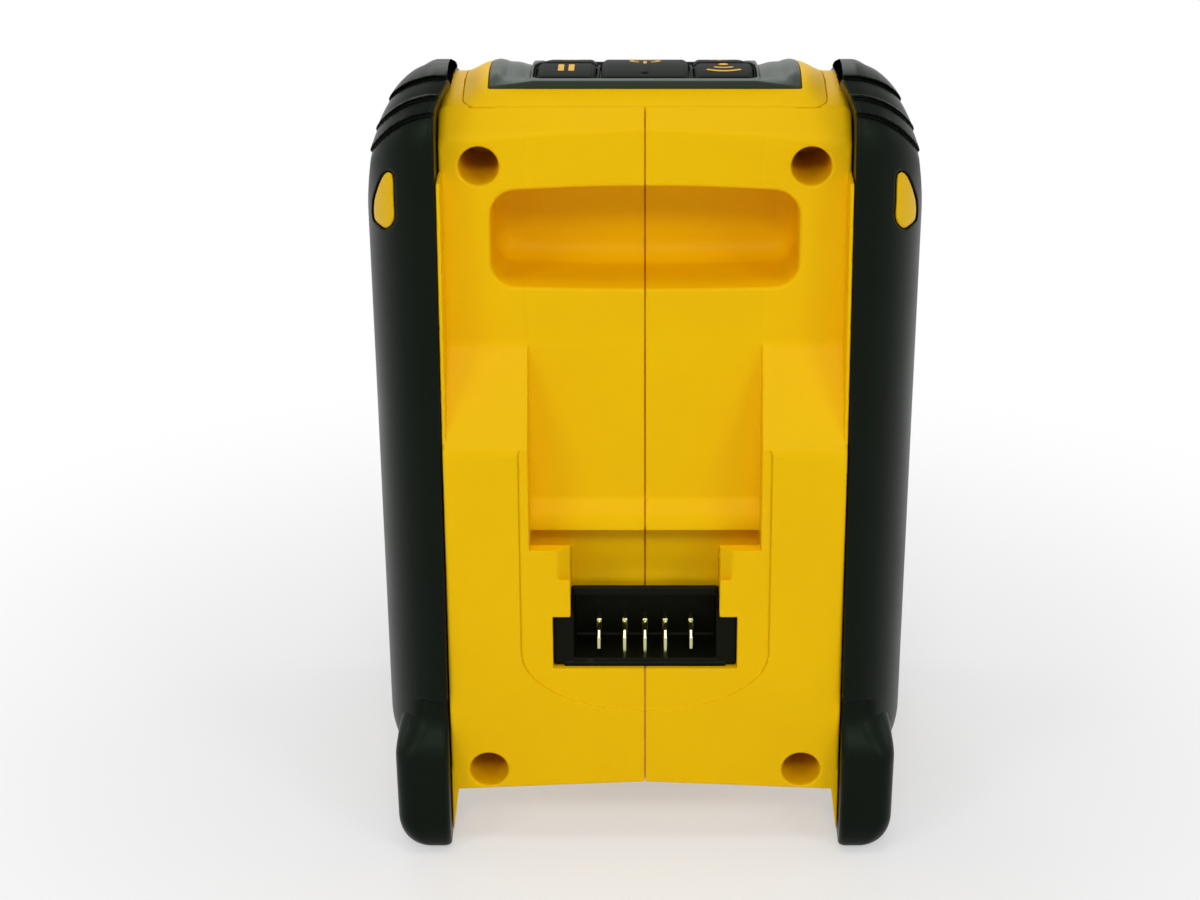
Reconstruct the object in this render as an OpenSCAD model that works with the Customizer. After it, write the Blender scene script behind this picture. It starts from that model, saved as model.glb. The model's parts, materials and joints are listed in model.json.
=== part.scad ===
// Jobsite wireless speaker that runs off a slide-on battery pack.
// The origin is on the ground in the middle of the footprint, +Z is up,
// +Y is the battery side and -Y the grille side. Lengths are in millimetres.

/* [Body] */
// Height over the rubber shoulders, standing on its feet
body_h = 269.5; // [240:0.5:300]
// Depth over the feet
body_d = 150; // [140:1:170]
// Width of the yellow middle between the two bumpers
panel_w = 133; // [130:1:150]
// Wall of the moulded housing
wall = 2.8; // [2:0.1:3.4]
// Height of the underside above the ground
leg_h = 21; // [16:1:25]
// How far the yellow battery side lies inside the bumpers
panel_inset = 4; // [2:0.5:6]
// How far the underside rises towards the middle
belly_rise = 3; // [0:0.5:5]

/* [Bumpers] */
// Width of one bumper, measured sideways
bumper_w = 24.8; // [22:0.2:27]
// Depth over which a bumper's outer edge rounds off
bumper_round = 36; // [28:1:40]
// How far the feet stand proud of the bumpers
foot_proud = 3; // [1:0.5:5]
// Height of the grip ridges on the shoulders
ridge_h = 1.3; // [0.6:0.1:2]
// Number of grip ridges on each shoulder
ridge_count = 3; // [2:1:4]
// How far a foot's outer side lies inside the bumper's
foot_inset = 7; // [4:0.2:8]
// Height of a rubber foot
foot_h = 57; // [50:1:64]
// Depth of a rubber foot, front to back
foot_d = 37; // [30:1:42]
// Thickness of the rubber on a foot's outer sides
foot_rubber = 7.5; // [7:0.1:9]
// Thickness of the rubber under a foot
foot_sole = 4.6; // [3:0.1:7]
// Width of the yellow inlay in each bumper
inlay_w = 7.6; // [5:0.1:9]
// Height of the yellow inlay in each bumper
inlay_h = 19; // [14:0.5:24]

/* [Battery bay] */
// Width of the bay between the two raised cheeks
bay_w = 77; // [74:0.5:82]
// How far the cheeks stand out from the bay floor
cheek_out = 18; // [12:1:22]
// Height of the point where the cheeks start to slope back
cheek_top = 147.5; // [135:0.5:160]
// Vertical run of the slope
cheek_run = 32; // [24:1:44]
// Clear width between the two rails
rail_gap = 50; // [46:0.2:56]
// Thickness of a rail lip
rail_lip = 6; // [4:0.5:8]
// Length of the rails above the terminal block's ears
rail_len = 25.5; // [20:0.5:34]
// Depth of the latch recess below the bay floor
latch_depth = 6; // [4:0.5:9]
// Depth of the shallow step round the pack's footprint
pad_step = 0.6; // [0.3:0.1:1.2]

/* [Terminal block] */
// Width over the block's ears
block_w = 61.4; // [57:0.2:66]
// Height of the block's wide part
ear_h = 17.8; // [14:0.2:22]
// Height of the block's neck
neck_h = 9.6; // [7:0.2:13]
// Height of the block's lower edge above the ground
block_z = 68; // [60:0.5:80]
// Thickness of a contact blade
blade_t = 1; // [0.6:0.1:1.4]
// Sideways distances of the contact blades from the middle
blade_offsets = [0, 7.1, 15.9];

/* [Finger pocket] */
// Width of the finger pocket
pocket_w = 100; // [80:1:106]
// Height of the finger pocket
pocket_h = 32.5; // [26:0.5:38]
// Depth of the finger pocket
pocket_depth = 31; // [20:1:33]
// Corner radius of the finger pocket
pocket_r = 8; // [4:0.5:12]

/* [Screw wells] */
// Diameter of the four screw wells
well_d = 13; // [10:0.5:15]
// Sideways distance between the screw wells
well_pitch = 107; // [100:0.5:112]
// Diameter of a housing screw's shank
screw_d = 4; // [3:0.1:5]

/* [Keys] */
// Width of the control panel that the keys sit in
trim_w = 101; // [96:1:106]
// Depth of the control panel, front to back
trim_d = 62; // [58:0.5:68]
// Width of the middle key
power_w = 28.8; // [22:0.2:34]
// Width of a side key at its wide end
side_key_w = 19.4; // [14:0.2:22]
// Rubber-to-rubber gap between two keys
key_gap = 1.6; // [1.4:0.1:2.2]
// Depth of the tray round the keys
tray_depth = 2.5; // [1.5:0.1:3]
// Travel of a key
key_travel = 0.8; // [0.4:0.1:1]

/* [Loudspeakers] */
// Outer diameter of a loudspeaker
driver_d = 78; // [70:1:82]
// Depth of a loudspeaker behind its flange
driver_depth = 38; // [32:1:44]
// Distance between the two loudspeakers' axes
driver_pitch = 84; // [83:0.5:90]
// How far the pair sits above the middle of the grille opening
driver_lift = 3; // [0:0.5:4]

/* [Grille] */
// Width of the grille opening
grille_w = 112; // [100:1:116]
// Height of the crown's highest line above the grille opening
grille_drop = 59.5; // [56:0.5:72]
// Distance between grille holes
hole_pitch = 9; // [8:0.5:12]
// Width of a grille hole across its flats
hole_w = 6.4; // [4:0.2:6.8]

/* [Hidden] */

yellow = [0.93, 0.67, 0.02];
rubber = [0.07, 0.08, 0.075];
black = [0.05, 0.05, 0.05];
steel = [0.72, 0.72, 0.7];

// Small distances that every fit uses
fit = 0.15;
slip = 0.3;
eps = 0.01;

// Depth levels, from the battery side towards the grille side
face_inset = 3;
frame_d = 24;
seam_inset = 7;
foot_y = body_d / 2;
bumper_y = foot_y - foot_proud;
cheek_y = bumper_y - panel_inset;
floor_y = cheek_y - cheek_out;
latch_y = floor_y - latch_depth;
pocket_y = floor_y - pocket_depth;
rear_seam_y = floor_y - seam_inset;
face_y = -bumper_y + face_inset;
split_y = face_y + frame_d;

// Sideways levels
cap_margin = 7.9;
pad_margin = 3;
panel_x = panel_w / 2;
cap_x = panel_x - cap_margin;
outer_x = panel_x + bumper_w;
pad_x = bay_w / 2 + pad_margin;

// Heights of the battery side
shoulder_rise = 5.2;
cap_drop = 6.2;
crease_drop = 5.5;
low_well_rise = 8;
high_well_drop = 12.6;
pocket_drop = 21;
ledge_gap = 2;
ledge_out = 4;
ledge_t = 4;
ledge_run = 6.7;
pad_drop = 15.7;
top_z = body_h - shoulder_rise;
seam_z = top_z - cap_drop;
crease_z = seam_z - crease_drop;
well_z = [leg_h + low_well_rise, crease_z - high_well_drop];
pocket_z = crease_z - pocket_drop - pocket_h;
ear_top = block_z + ear_h;
neck_top = ear_top + neck_h;
rail_top = ear_top + rail_len;
ledge_z = rail_top + ledge_gap;
pad_bottom = block_z - pad_drop;
floor_z = leg_h + belly_rise + wall;

// Crown of the top, from its rear seam over its crest to its front seam
crest_d = 19;
front_drop = 18;
crown_y = rear_seam_y - crest_d;
front_z = top_z - front_drop;
crown_steps = 14;

function crown_z(y) = y > crown_y
    ? top_z - (top_z - seam_z) * pow((y - crown_y) / (rear_seam_y - crown_y), 2.2)
    : top_z - (top_z - front_z) * pow((crown_y - y) / (crown_y - split_y), 1.6);

// Points of the crown, some depth below its surface, running from the rear to the front
function crown(depth, from = rear_seam_y, to = split_y) = [
    for (i = [0 : crown_steps])
        let (y = from + (to - from) * i / crown_steps) [y, crown_z(y) - depth]
];

// Shelf in the shells that the top cap sits on
cap_wall = 3.4;
shelf_t = 2.4;
shelf_w = 5;

// The crown sags beside the control panel, but not at its rear seam
side_sag = 3.4;
flat_x = trim_w / 2;
sag_x = panel_x - 6.5;

function side_lift(y) =
    side_sag * pow(max(y - crown_y, 0) / (rear_seam_y - crown_y), 2);

function side_crown(depth) = concat(
    [[foot_y + 1, seam_z + side_sag - depth]],
    [for (p = crown(depth)) [p[0], p[1] + side_lift(p[0])]],
    [[-foot_y - 1, front_z - depth]]
);

// Everything below the crown, some depth under its surface
module under_crown(depth) {
    slope = side_sag / (sag_x - flat_x);
    outline = concat([[-foot_y - 1, 0], [foot_y + 1, 0]], side_crown(depth));
    for (side = [0, 1])
        mirror([side, 0, 0]) {
            along_x(-eps, flat_x) polygon(outline);
            multmatrix([[1, 0, 0, 0], [0, 1, 0, 0], [-slope, 0, 1, slope * flat_x], [0, 0, 0, 1]])
                along_x(flat_x, sag_x) polygon(outline);
            translate([0, 0, -side_sag]) along_x(sag_x, panel_x + 1) polygon(outline);
        }
}

function shelf_z(y) = seam_z - cap_wall
    + (front_z - side_sag - seam_z) * (rear_seam_y - y) / (rear_seam_y - split_y);

function reversed(list) = [for (i = [len(list) - 1 : -1 : 0]) list[i]];

function arc(cy, cz, r, from, to, steps) = [
    for (i = [0 : steps])
        let (a = from + (to - from) * i / steps) [cy + r * cos(a), cz + r * sin(a)]
];

// Rounded outline of a bumper seen from the side, drawn inset by some distance.
// Each corner is [y, z, radius, side of y, side of z, share of the inset taken in height].
shoulder_r = 35;
shoulder_lean = 9;
sole_r = 18;
sole_z = leg_h + 8;
front_r = 36;
front_fall = 20;
top_share = 1.75;
sole_share = 0.3;
corners = [
    [bumper_y - sole_r, sole_z + sole_r, sole_r, 1, -1, sole_share],
    [bumper_y - shoulder_lean - shoulder_r, body_h - shoulder_r, shoulder_r, 1, 1, top_share],
    [-bumper_y + front_r, body_h - front_fall - front_r, front_r, -1, 1, top_share],
    [-bumper_y + sole_r, sole_z + sole_r, sole_r, -1, -1, sole_share]
];
corner_steps = 9;
least_r = 1;

function corner_arc(c, inset, from) =
    let (
        r = max(c[2] - inset * max(c[5], 1), least_r),
        y = c[0] + c[3] * (c[2] - inset - r),
        z = c[1] + c[4] * (c[2] - inset * c[5] - r)
    )
    arc(y, z, r, from, from + 90, corner_steps);

function bumper_outline(inset) = concat(
    corner_arc(corners[0], inset, -90),
    corner_arc(corners[1], inset, 0),
    corner_arc(corners[2], inset, 90),
    corner_arc(corners[3], inset, 180)
);

// Steps of the moulded core inside a bumper: [outer x, inset]
core_steps = [[panel_x + 10, 7], [panel_x + 17.5, 19]];
core_rise = 5;
core_bottom = foot_h + core_rise;

// Extrudes a (y, z) outline along X
module along_x(from, to) {
    translate([from, 0, 0]) rotate([90, 0, 90]) linear_extrude(to - from) children();
}

// Extrudes an (x, z) outline along Y
module along_y(from, to) {
    translate([0, to, 0]) rotate([90, 0, 0]) linear_extrude(to - from) children();
}

// Box from its lowest corner to its highest corner
module box(low, high) {
    translate(low) cube(high - low);
}

// Cylinder along +Y from one depth to another
module rod_y(x, z, from, to, d) {
    translate([x, from, z]) rotate([-90, 0, 0]) cylinder(h = to - from, d = d, $fn = 48);
}

module right_side() {
    mirror([1, 0, 0]) children();
}

// Bumper solid, shared by the bumper, its ridges and its inlay
slice_t = 0.02;
slice_turns = [0, 18, 34, 48, 60, 70, 79, 86];

// Sideways lean of a bumper's outer side, and the height above which it flares
bumper_lean = 0.016;
flare_drop = 54.5;
flare_z = body_h - flare_drop;

module bumper_slice(x, inset, lean) {
    multmatrix([[1, 0, lean, -lean * flare_z], [0, 1, 0, 0], [0, 0, 1, 0], [0, 0, 0, 1]])
        along_x(x, x + slice_t) polygon(bumper_outline(inset));
}

module bumper_body(grow) {
    crest_x = panel_x + 0.5;
    half_w = outer_x - crest_x;
    hull() {
        bumper_slice(panel_x + fit, 0.6 - grow, 0);
        for (turn = slice_turns)
            bumper_slice(
                crest_x + (half_w + grow) * sin(turn),
                bumper_round * (1 - cos(turn)) - grow,
                bumper_lean * sin(turn)
            );
    }
}

module bumper_core(grow) {
    intersection() {
        union()
            for (i = [0 : len(core_steps) - 1])
                along_x(panel_x - (grow > 0 ? 1 : 0), core_steps[i][0] + grow)
                    polygon(bumper_outline(core_steps[i][1] - grow));
        box([0, -foot_y, core_bottom - grow], [outer_x, foot_y, body_h]);
    }
}

// Yellow housing

// Height over which the battery side leans in towards its lower edge, and by how much
lean_h = 40;
lean = 2;

// Outline of the middle body on the battery side
function rear_outline() = concat(
    [
        [split_y, leg_h], [cheek_y - lean, leg_h], [cheek_y, leg_h + lean_h],
        [cheek_y, cheek_top],
        [floor_y, cheek_top + cheek_run], [floor_y, crease_z]
    ],
    crown(0)
);

// Hollow of the middle body on the battery side
function rear_hollow() = [
    [split_y - 1, floor_z], [cheek_y - lean - wall, floor_z],
    [cheek_y - wall, leg_h + lean_h], [cheek_y - wall, cheek_top - wall / 3],
    [floor_y - wall, cheek_top + cheek_run - wall / 3], [floor_y - wall, crease_z - wall / 2],
    [rear_seam_y - cap_wall / 2, shelf_z(rear_seam_y) - shelf_t],
    [split_y - 1, shelf_z(split_y - 1) - shelf_t]
];

// Wedge under the housing that leaves its underside higher in the middle
module belly_cut() {
    along_y(-foot_y, foot_y)
        polygon([
            [-panel_x, leg_h - 1], [-panel_x, leg_h], [0, leg_h + belly_rise],
            [panel_x, leg_h], [panel_x, leg_h - 1]
        ]);
}

// Footprint of the battery pack: straight sides and a half-elliptic foot
pad_bow = 22;

function pad_outline() = concat(
    [[-1, cheek_top], [pad_x, cheek_top]],
    [
        for (a = [0 : 7.5 : 90])
            [pad_x * cos(a), pad_bottom + pad_bow * (1 - sin(a))]
    ],
    [[-1, pad_bottom]]
);

// Everything that the battery pack and its terminal block take from the shell
block_seat = 2;
block_back = latch_y - block_seat;

module bay_cut() {
    far = foot_y + 1;
    slot_x = block_w / 2 + slip;
    along_x(-1, bay_w / 2)
        polygon([
            [far, ledge_z], [floor_y + ledge_out, ledge_z],
            [floor_y + ledge_out, ledge_z + ledge_t],
            [floor_y, ledge_z + ledge_t + ledge_run],
            [floor_y, cheek_top + cheek_run + 1], [far, cheek_top + cheek_run + 1]
        ]);
    box([-1, latch_y, rail_top], [bay_w / 2, far, ledge_z + eps]);
    box([-1, latch_y, neck_top - 1], [rail_gap / 2, far, rail_top + eps]);
    box([-1, floor_y, ear_top - 1], [slot_x, cheek_y - rail_lip, rail_top + eps]);
    box([-1, block_back, block_z], [slot_x, far, ear_top]);
    box([-1, block_back, ear_top - 1], [rail_gap / 2, far, neck_top]);
    along_y(cheek_y - pad_step, far) polygon(pad_outline());
    rail_lead_in();
}

// Chamfers that guide the pack between the rails
module rail_lead_in() {
    lead = 4;
    lead_len = 10;
    along_x(rail_gap / 2 - 1, bay_w / 2)
        polygon([
            [cheek_y + 1, rail_top + 1], [cheek_y - lead, rail_top + 1],
            [cheek_y - lead, rail_top], [cheek_y + 1, rail_top - 2]
        ]);
    translate([0, 0, rail_top - lead_len]) linear_extrude(lead_len + 1)
        polygon([
            [rail_gap / 2 - 1, cheek_y + 1], [rail_gap / 2 - 1, cheek_y - lead],
            [rail_gap / 2, cheek_y - lead], [rail_gap / 2 + lead, cheek_y + 1]
        ]);
}

// Walls round the bay, before the bay itself is cut
module bay_tub() {
    box(
        [0, floor_y - wall, ledge_z - wall],
        [bay_w / 2 + wall, cheek_y - eps, cheek_top + cheek_run]
    );
    box(
        [0, block_back - wall, block_z - wall],
        [bay_w / 2 + wall, cheek_y - eps, ledge_z + wall]
    );
}

// How far the pocket's upper edge arches up, and its lower edge down, towards the seam
arch_up = 1.6;
arch_down = 0.8;

module pocket_cut() {
    top = pocket_z + pocket_h;
    x = pocket_w / 2 - pocket_r;
    along_y(pocket_y, floor_y + 1)
        polygon(concat(
            [[-1, pocket_z - arch_down]],
            arc(x, pocket_z + pocket_r, pocket_r, -90, 0, 8),
            arc(x, top - pocket_r, pocket_r, 0, 90, 8),
            [[-1, top + arch_up]]
        ));
}

module pocket_tub() {
    box(
        [0, pocket_y - wall, pocket_z - wall - arch_down],
        [pocket_w / 2 + wall, floor_y - eps, pocket_z + pocket_h + wall + arch_up]
    );
}

well_depth = 24;
tower_base = 10;
tower_wall = 2;
post_d = 9;
thread_len = 22;
well_y = floor_y - well_depth;
tower_end = well_y - tower_base;

module screw_towers() {
    intersection() {
        union()
            for (z = well_z)
                rod_y(well_pitch / 2, z, tower_end, cheek_y + 1, well_d + 2 * tower_wall);
        rear_solid();
    }
}

module screw_wells() {
    for (z = well_z) {
        rod_y(well_pitch / 2, z, well_y, foot_y, well_d);
        rod_y(well_pitch / 2, z, tower_end - 1, well_y + 1, screw_d + 2 * slip);
    }
}

// Posts of the front frame, which meet the screw towers end to end. The upper one is short,
// because the crown comes down towards the grille side, and hangs on a rib.
post_len = 24;
rib_t = 5;
rib_h = 16;
rib_drop = 2;
rib_top = well_z[1] - rib_drop;

module posts(grow) {
    x = well_pitch / 2;
    rod_y(x, well_z[0], face_y + 1, tower_end - fit + grow, post_d + 2 * grow);
    rod_y(x, well_z[1], tower_end - post_len - grow, tower_end - fit + grow, post_d + 2 * grow);
    box(
        [x - rib_t / 2 - grow, face_y + 1, rib_top - rib_h - grow],
        [x + rib_t / 2 + grow, tower_end - fit + grow, rib_top + grow]
    );
}

// Amplifier board, carried by four posts below the finger pocket
board_t = 1.6;
board_back = 6;
board_margin = 4;
board_w = 84;
board_h = 53;
board_drop = 24.5;
board_screw_d = 3;
board_bite = 9;
board_y = pocket_y - board_back;
board_top_z = pocket_z - board_drop;
board_x = board_w / 2 - board_margin;
board_z = [board_top_z - board_h + board_margin, board_top_z - board_margin];

module board_posts() {
    foot = board_y + board_t;
    for (z = board_z)
        difference() {
            rod_y(board_x, z, foot, floor_y - 1, 8);
            rod_y(board_x, z, foot - 1, foot + board_bite + 1, board_screw_d);
        }
}

// Yellow leg that fills a foot and shows on the side towards the middle
leg_in = 2.5;
leg_root = 8;
leg_taper = 1.5;
foot_outer_x = outer_x - foot_inset;
leg_x = foot_outer_x - foot_rubber;

module leg_outline(grow) {
    polygon([
        [panel_x - leg_in, leg_h + 1], [panel_x - slip, foot_sole - grow],
        [leg_x - leg_taper, foot_sole - grow], [leg_x + grow, foot_sole + leg_root],
        [leg_x + grow, foot_h + leg_root], [panel_x - leg_in, foot_h + leg_root]
    ]);
}

// Leg at the battery side, or mirrored at the grille side
module leg(grow) {
    along_y(foot_y - foot_d + foot_rubber - grow, foot_y - foot_rubber + grow)
        leg_outline(grow);
}

// Right half of the middle body, filled
module rear_solid() {
    intersection() {
        along_x(fit / 2, panel_x) polygon(rear_outline());
        under_crown(0);
    }
}

// Thin lip that stands up beside the bumper, from the cheek to below the crease
lip_t = 1.3;
lip_back = 1.5;
lip_drop = 20.6;

module side_lip() {
    box(
        [panel_x - lip_t, floor_y - 1, cheek_top],
        [panel_x, cheek_y - lip_back, crease_z - lip_drop]
    );
}

module shell_half() {
    difference() {
        union() {
            difference() {
                union() {
                    rear_solid();
                    intersection() {
                        bumper_core(0);
                        box([0, split_y, 0], [outer_x, foot_y, body_h]);
                    }
                }
                along_x(-1, panel_x - wall) polygon(rear_hollow());
                side_hollow(split_y - 1, foot_y);
            }
            intersection() {
                rear_solid();
                union() {
                    translate([fit / 2, 0, 0]) bay_tub();
                    translate([fit / 2, 0, 0]) pocket_tub();
                }
            }
            screw_towers();
            board_posts();
            leg(0);
            side_lip();
        }
        belly_cut();
        cap_seat();
        bay_cut();
        pocket_cut();
        screw_wells();
        intersection() {
            posts(fit);
            box([0, split_y - 1, 0], [panel_x, foot_y, body_h]);
        }
    }
}

// Hollow of the housing inside a bumper, between two depths
module side_hollow(from, to) {
    intersection() {
        union() {
            along_x(panel_x + wall, core_steps[0][0] - wall)
                polygon(bumper_outline(core_steps[0][1] + wall));
            along_x(panel_x + wall, core_steps[1][0] - wall)
                polygon(bumper_outline(core_steps[1][1] + wall));
            intersection() {
                along_x(panel_x - wall - 1, panel_x + wall + 1)
                    polygon(bumper_outline(core_steps[1][1] + wall));
                box([0, -foot_y, 0], [outer_x, floor_y - wall, body_h]);
            }
        }
        box([0, from, 0], [outer_x, to, body_h]);
    }
}

// Space that the top cap takes out of a shell, and the mouth below it
module cap_seat() {
    along_x(-1, cap_x + fit)
        polygon([
            [split_y - 1, shelf_z(split_y - 1)], [rear_seam_y + fit, shelf_z(rear_seam_y)],
            [rear_seam_y + fit, body_h], [split_y - 1, body_h]
        ]);
    box(
        [-1, split_y - 1, shelf_z(split_y) - 2 * shelf_t],
        [cap_x - shelf_w, rear_seam_y - shelf_w, body_h]
    );
}

module rear_shell_left() {
    color(yellow) shell_half();
}

module rear_shell_right() {
    color(yellow) right_side() shell_half();
}

// Top cap with its control panel

// Outside of the cap, or with an inset its hollow
module cap_shape(inset) {
    rear = rear_seam_y - inset;
    front = split_y + inset + (inset > 0 ? 0 : fit);
    foot = inset > 0 ? 10 : 0;
    intersection() {
        along_x(-cap_x + inset, cap_x - inset)
            polygon(concat(
                crown(inset, rear, front),
                [[front, shelf_z(front) - foot], [rear, shelf_z(rear) - foot]]
            ));
        under_crown(inset);
    }
}

// Plan of the control panel, with its corners cut off at the grille side
trim_back = 7;
trim_corner = 14;
trim_rear_y = rear_seam_y - trim_back;
trim_front_y = trim_rear_y - trim_d;

module trim_plan(grow) {
    x = trim_w / 2 + grow;
    y = trim_front_y - grow;
    polygon([
        [x, trim_rear_y + grow], [x, y + trim_corner], [x - trim_corner, y],
        [trim_corner - x, y], [-x, y + trim_corner], [-x, trim_rear_y + grow]
    ]);
}

// Layer of the crown between two depths below the cap's surface
module crown_layer(high, low, x) {
    along_x(-x, x) polygon(concat(crown(high), reversed(crown(low))));
}

// The control panel rests on its flange, and its tray hangs in the cap's opening
trim_rise = 0.5;
trim_seat = 1.2;
trim_lip = 3.5;
tray_t = 1.8;
tray_low = tray_depth + tray_t;

module top_cap() {
    color(yellow) difference() {
        cap_shape(0);
        cap_shape(cap_wall);
        intersection() {
            upright() trim_plan(fit);
            crown_layer(-cap_wall, trim_seat, cap_x);
        }
        upright() trim_plan(-trim_lip);
    }
}

// Extrudes a plan upwards through the whole crown
module upright() {
    translate([0, 0, front_z - front_drop]) linear_extrude(3 * front_drop) children();
}

// Keys

key_edge = 4.5;
power_d = 43;
rear_key_d = 20.5;
front_key_d = 18.9;
side_taper = 0.16;
key_rear_y = trim_rear_y - key_edge;
power_front_y = key_rear_y - power_d;

// Outer edge of the side keys, which narrow towards the grille side
function side_key_edge(y) =
    power_w / 2 + key_gap + side_key_w - (key_rear_y - y) * side_taper;

power_plan = [
    [power_w / 2, key_rear_y], [power_w / 2, power_front_y],
    [-power_w / 2, power_front_y], [-power_w / 2, key_rear_y]
];

function side_plan(rear, front) = [
    [power_w / 2 + key_gap, rear], [power_w / 2 + key_gap, front],
    [side_key_edge(front), front], [side_key_edge(rear), rear]
];

rear_key_plan = side_plan(key_rear_y, key_rear_y - rear_key_d);
front_key_rear = key_rear_y - rear_key_d - key_gap;
front_key_plan = side_plan(front_key_rear, front_key_rear - front_key_d);

// Centre of a key's stem
function middle(plan) = (plan[0] + plan[1] + plan[2] + plan[3]) / 4;

key_drop = 0.3;
key_skirt = 0.5;
key_wall = 1.8;
key_body_t = 6.4;
key_stem_d = 5;
key_board_drop = 18;
switch_h = 3.6;
plunger_h = 0.7;
key_board_z = top_z - key_board_drop;
stem_z = key_board_z + switch_h + plunger_h + key_travel + slip;

// Hollow rubber key with a skirt under the tray and a stem over its switch
module key_shape(plan) {
    difference() {
        union() {
            intersection() {
                upright() polygon(plan);
                crown_layer(key_drop, key_body_t, cap_x);
            }
            intersection() {
                upright() offset(delta = key_skirt) polygon(plan);
                crown_layer(tray_low + slip, key_body_t, cap_x);
            }
        }
        intersection() {
            upright() offset(delta = -key_wall) polygon(plan);
            crown_layer(key_drop + key_wall, key_body_t + 1, cap_x);
        }
    }
    stem = middle(plan);
    translate([stem[0], stem[1], stem_z])
        cylinder(h = crown_z(stem[1]) - key_drop - key_wall / 2 - stem_z, d = key_stem_d, $fn = 32);
}

// Height of the panel's surface over the crown: a finger scoop beside the keys, proud ends
scoop_depth = 0.7;
scoop_shelf = 0.45;
trim_end = 5.5;
tray_edge = 0.8;
tray_x = power_w / 2 + key_gap + side_key_w + tray_edge;

// Rear edge, where the panel's top is level while the crown falls away
function panel_z(y) = max(crown_z(y), y > crown_y ? top_z : 0);

// Panel's surface at some height over it, from the rear edge to the front edge
function panel_top(rise) = [
    for (i = [0 : crown_steps])
        let (y = rear_seam_y + (split_y - rear_seam_y) * i / crown_steps)
        [y, panel_z(y) + rise]
];

// The middle of the panel lies lower than its two ends
module panel_recess(x, depth) {
    along_x(-x, x) polygon(concat(panel_top(2 * cap_wall), reversed(panel_top(-depth))));
}

module control_panel() {
    color([0.1, 0.12, 0.11]) difference() {
        union() {
            difference() {
                intersection() {
                    upright() trim_plan(0);
                    along_x(-cap_x, cap_x)
                        polygon(concat(panel_top(trim_rise), reversed(crown(tray_low))));
                }
                panel_recess(trim_w / 2 - trim_end, scoop_shelf);
                panel_recess(tray_x + 2, scoop_depth);
                intersection() {
                    upright() difference() {
                        trim_plan(1);
                        trim_plan(-trim_lip - fit);
                    }
                    crown_layer(trim_seat, tray_low + 1, cap_x);
                }
                intersection() {
                    upright() tray_plan();
                    crown_layer(-2 * cap_wall, tray_depth, cap_x);
                }
            }
            key_board_bosses();
        }
        key_openings();
        for (side = [-1, 1], p = key_boss)
            translate([side * p[0], p[1], key_board_z - 1])
                cylinder(h = key_screw_len, d = key_screw_d, $fn = 32);
    }
}

// Plan of the tray, one even edge round all the keys
module tray_plan() {
    rear = key_rear_y + tray_edge;
    front = power_front_y - tray_edge;
    low_x = side_key_edge(power_front_y) + tray_edge;
    polygon([[tray_x, rear], [low_x, front], [-low_x, front], [-tray_x, rear]]);
}

module key_openings() {
    upright() {
        offset(delta = slip) polygon(power_plan);
        for (side = [0, 1])
            mirror([side, 0]) {
                offset(delta = slip) polygon(rear_key_plan);
                offset(delta = slip) polygon(front_key_plan);
            }
    }
}

module power_key() {
    color(black) key_shape(power_plan);
}

module pause_key() {
    color(black) key_shape(rear_key_plan);
}

module pair_key() {
    color(black) right_side() key_shape(rear_key_plan);
}

module volume_down_key() {
    color(black) key_shape(front_key_plan);
}

module volume_up_key() {
    color(black) right_side() key_shape(front_key_plan);
}

// Board under the keys

key_board_w = 88;
key_board_rear = key_rear_y + 2;
key_board_front = power_front_y - 7;
key_boss_d = 6.5;
key_boss_inset = [4, 5];
key_screw_d = 2.6;
key_screw_len = 7;
key_boss_x = key_board_w / 2 - key_boss_inset[0];
key_boss = [
    [key_boss_x, key_board_rear - key_boss_inset[1]],
    [key_boss_x, key_board_front + key_boss_inset[1]]
];

module key_board_bosses() {
    intersection() {
        union()
            for (side = [-1, 1], p = key_boss)
                translate([side * p[0], p[1], key_board_z])
                    cylinder(h = key_board_drop, d = key_boss_d, $fn = 32);
        along_x(-flat_x, flat_x)
            polygon(concat(
                crown(tray_low - tray_t / 2),
                [[split_y, key_board_z], [rear_seam_y, key_board_z]]
            ));
    }
}

module key_board() {
    color([0.05, 0.3, 0.14])
        box(
            [-key_board_w / 2, key_board_front, key_board_z - board_t],
            [key_board_w / 2, key_board_rear, key_board_z]
        );
}

key_centres = [
    middle(power_plan), middle(rear_key_plan), middle(front_key_plan),
    [-middle(rear_key_plan)[0], middle(rear_key_plan)[1]],
    [-middle(front_key_plan)[0], middle(front_key_plan)[1]]
];

module key_switches() {
    size = 6;
    for (p = key_centres) {
        color([0.2, 0.2, 0.2]) translate([p[0] - size / 2, p[1] - size / 2, key_board_z])
            cube([size, size, switch_h]);
        color(steel) translate([p[0], p[1], key_board_z + switch_h - eps])
            cylinder(h = plunger_h + eps, d = 3.4, $fn = 32);
    }
}

// Front frame, baffle and grille

face_drop = 51;
face_bend = 12;
grille_rise = 15;
grille_r = 14;
grille_t = 1.2;
grille_sink = 1.6;
grille_seat = 2.5;
baffle_t = 3;
baffle_back = 12;
face_top = top_z - face_drop;
grille_z = leg_h + grille_rise;
grille_h = body_h - grille_drop - grille_z;
baffle_y = face_y + baffle_back;

// Outline of the front frame, or with an inset its hollow
function front_outline(inset) =
    let (
        hollow = inset > 0,
        bottom = hollow ? floor_z : leg_h,
        rear = split_y + (hollow ? 1 : -fit)
    )
    [
        [rear, bottom], [face_y + 2 * lean + inset, bottom],
        [face_y + inset, leg_h + lean_h], [face_y + inset, face_top - inset / 3],
        [face_y + face_bend + inset, front_z - face_bend - inset / 2],
        [rear, front_z - inset]
    ];

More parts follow.
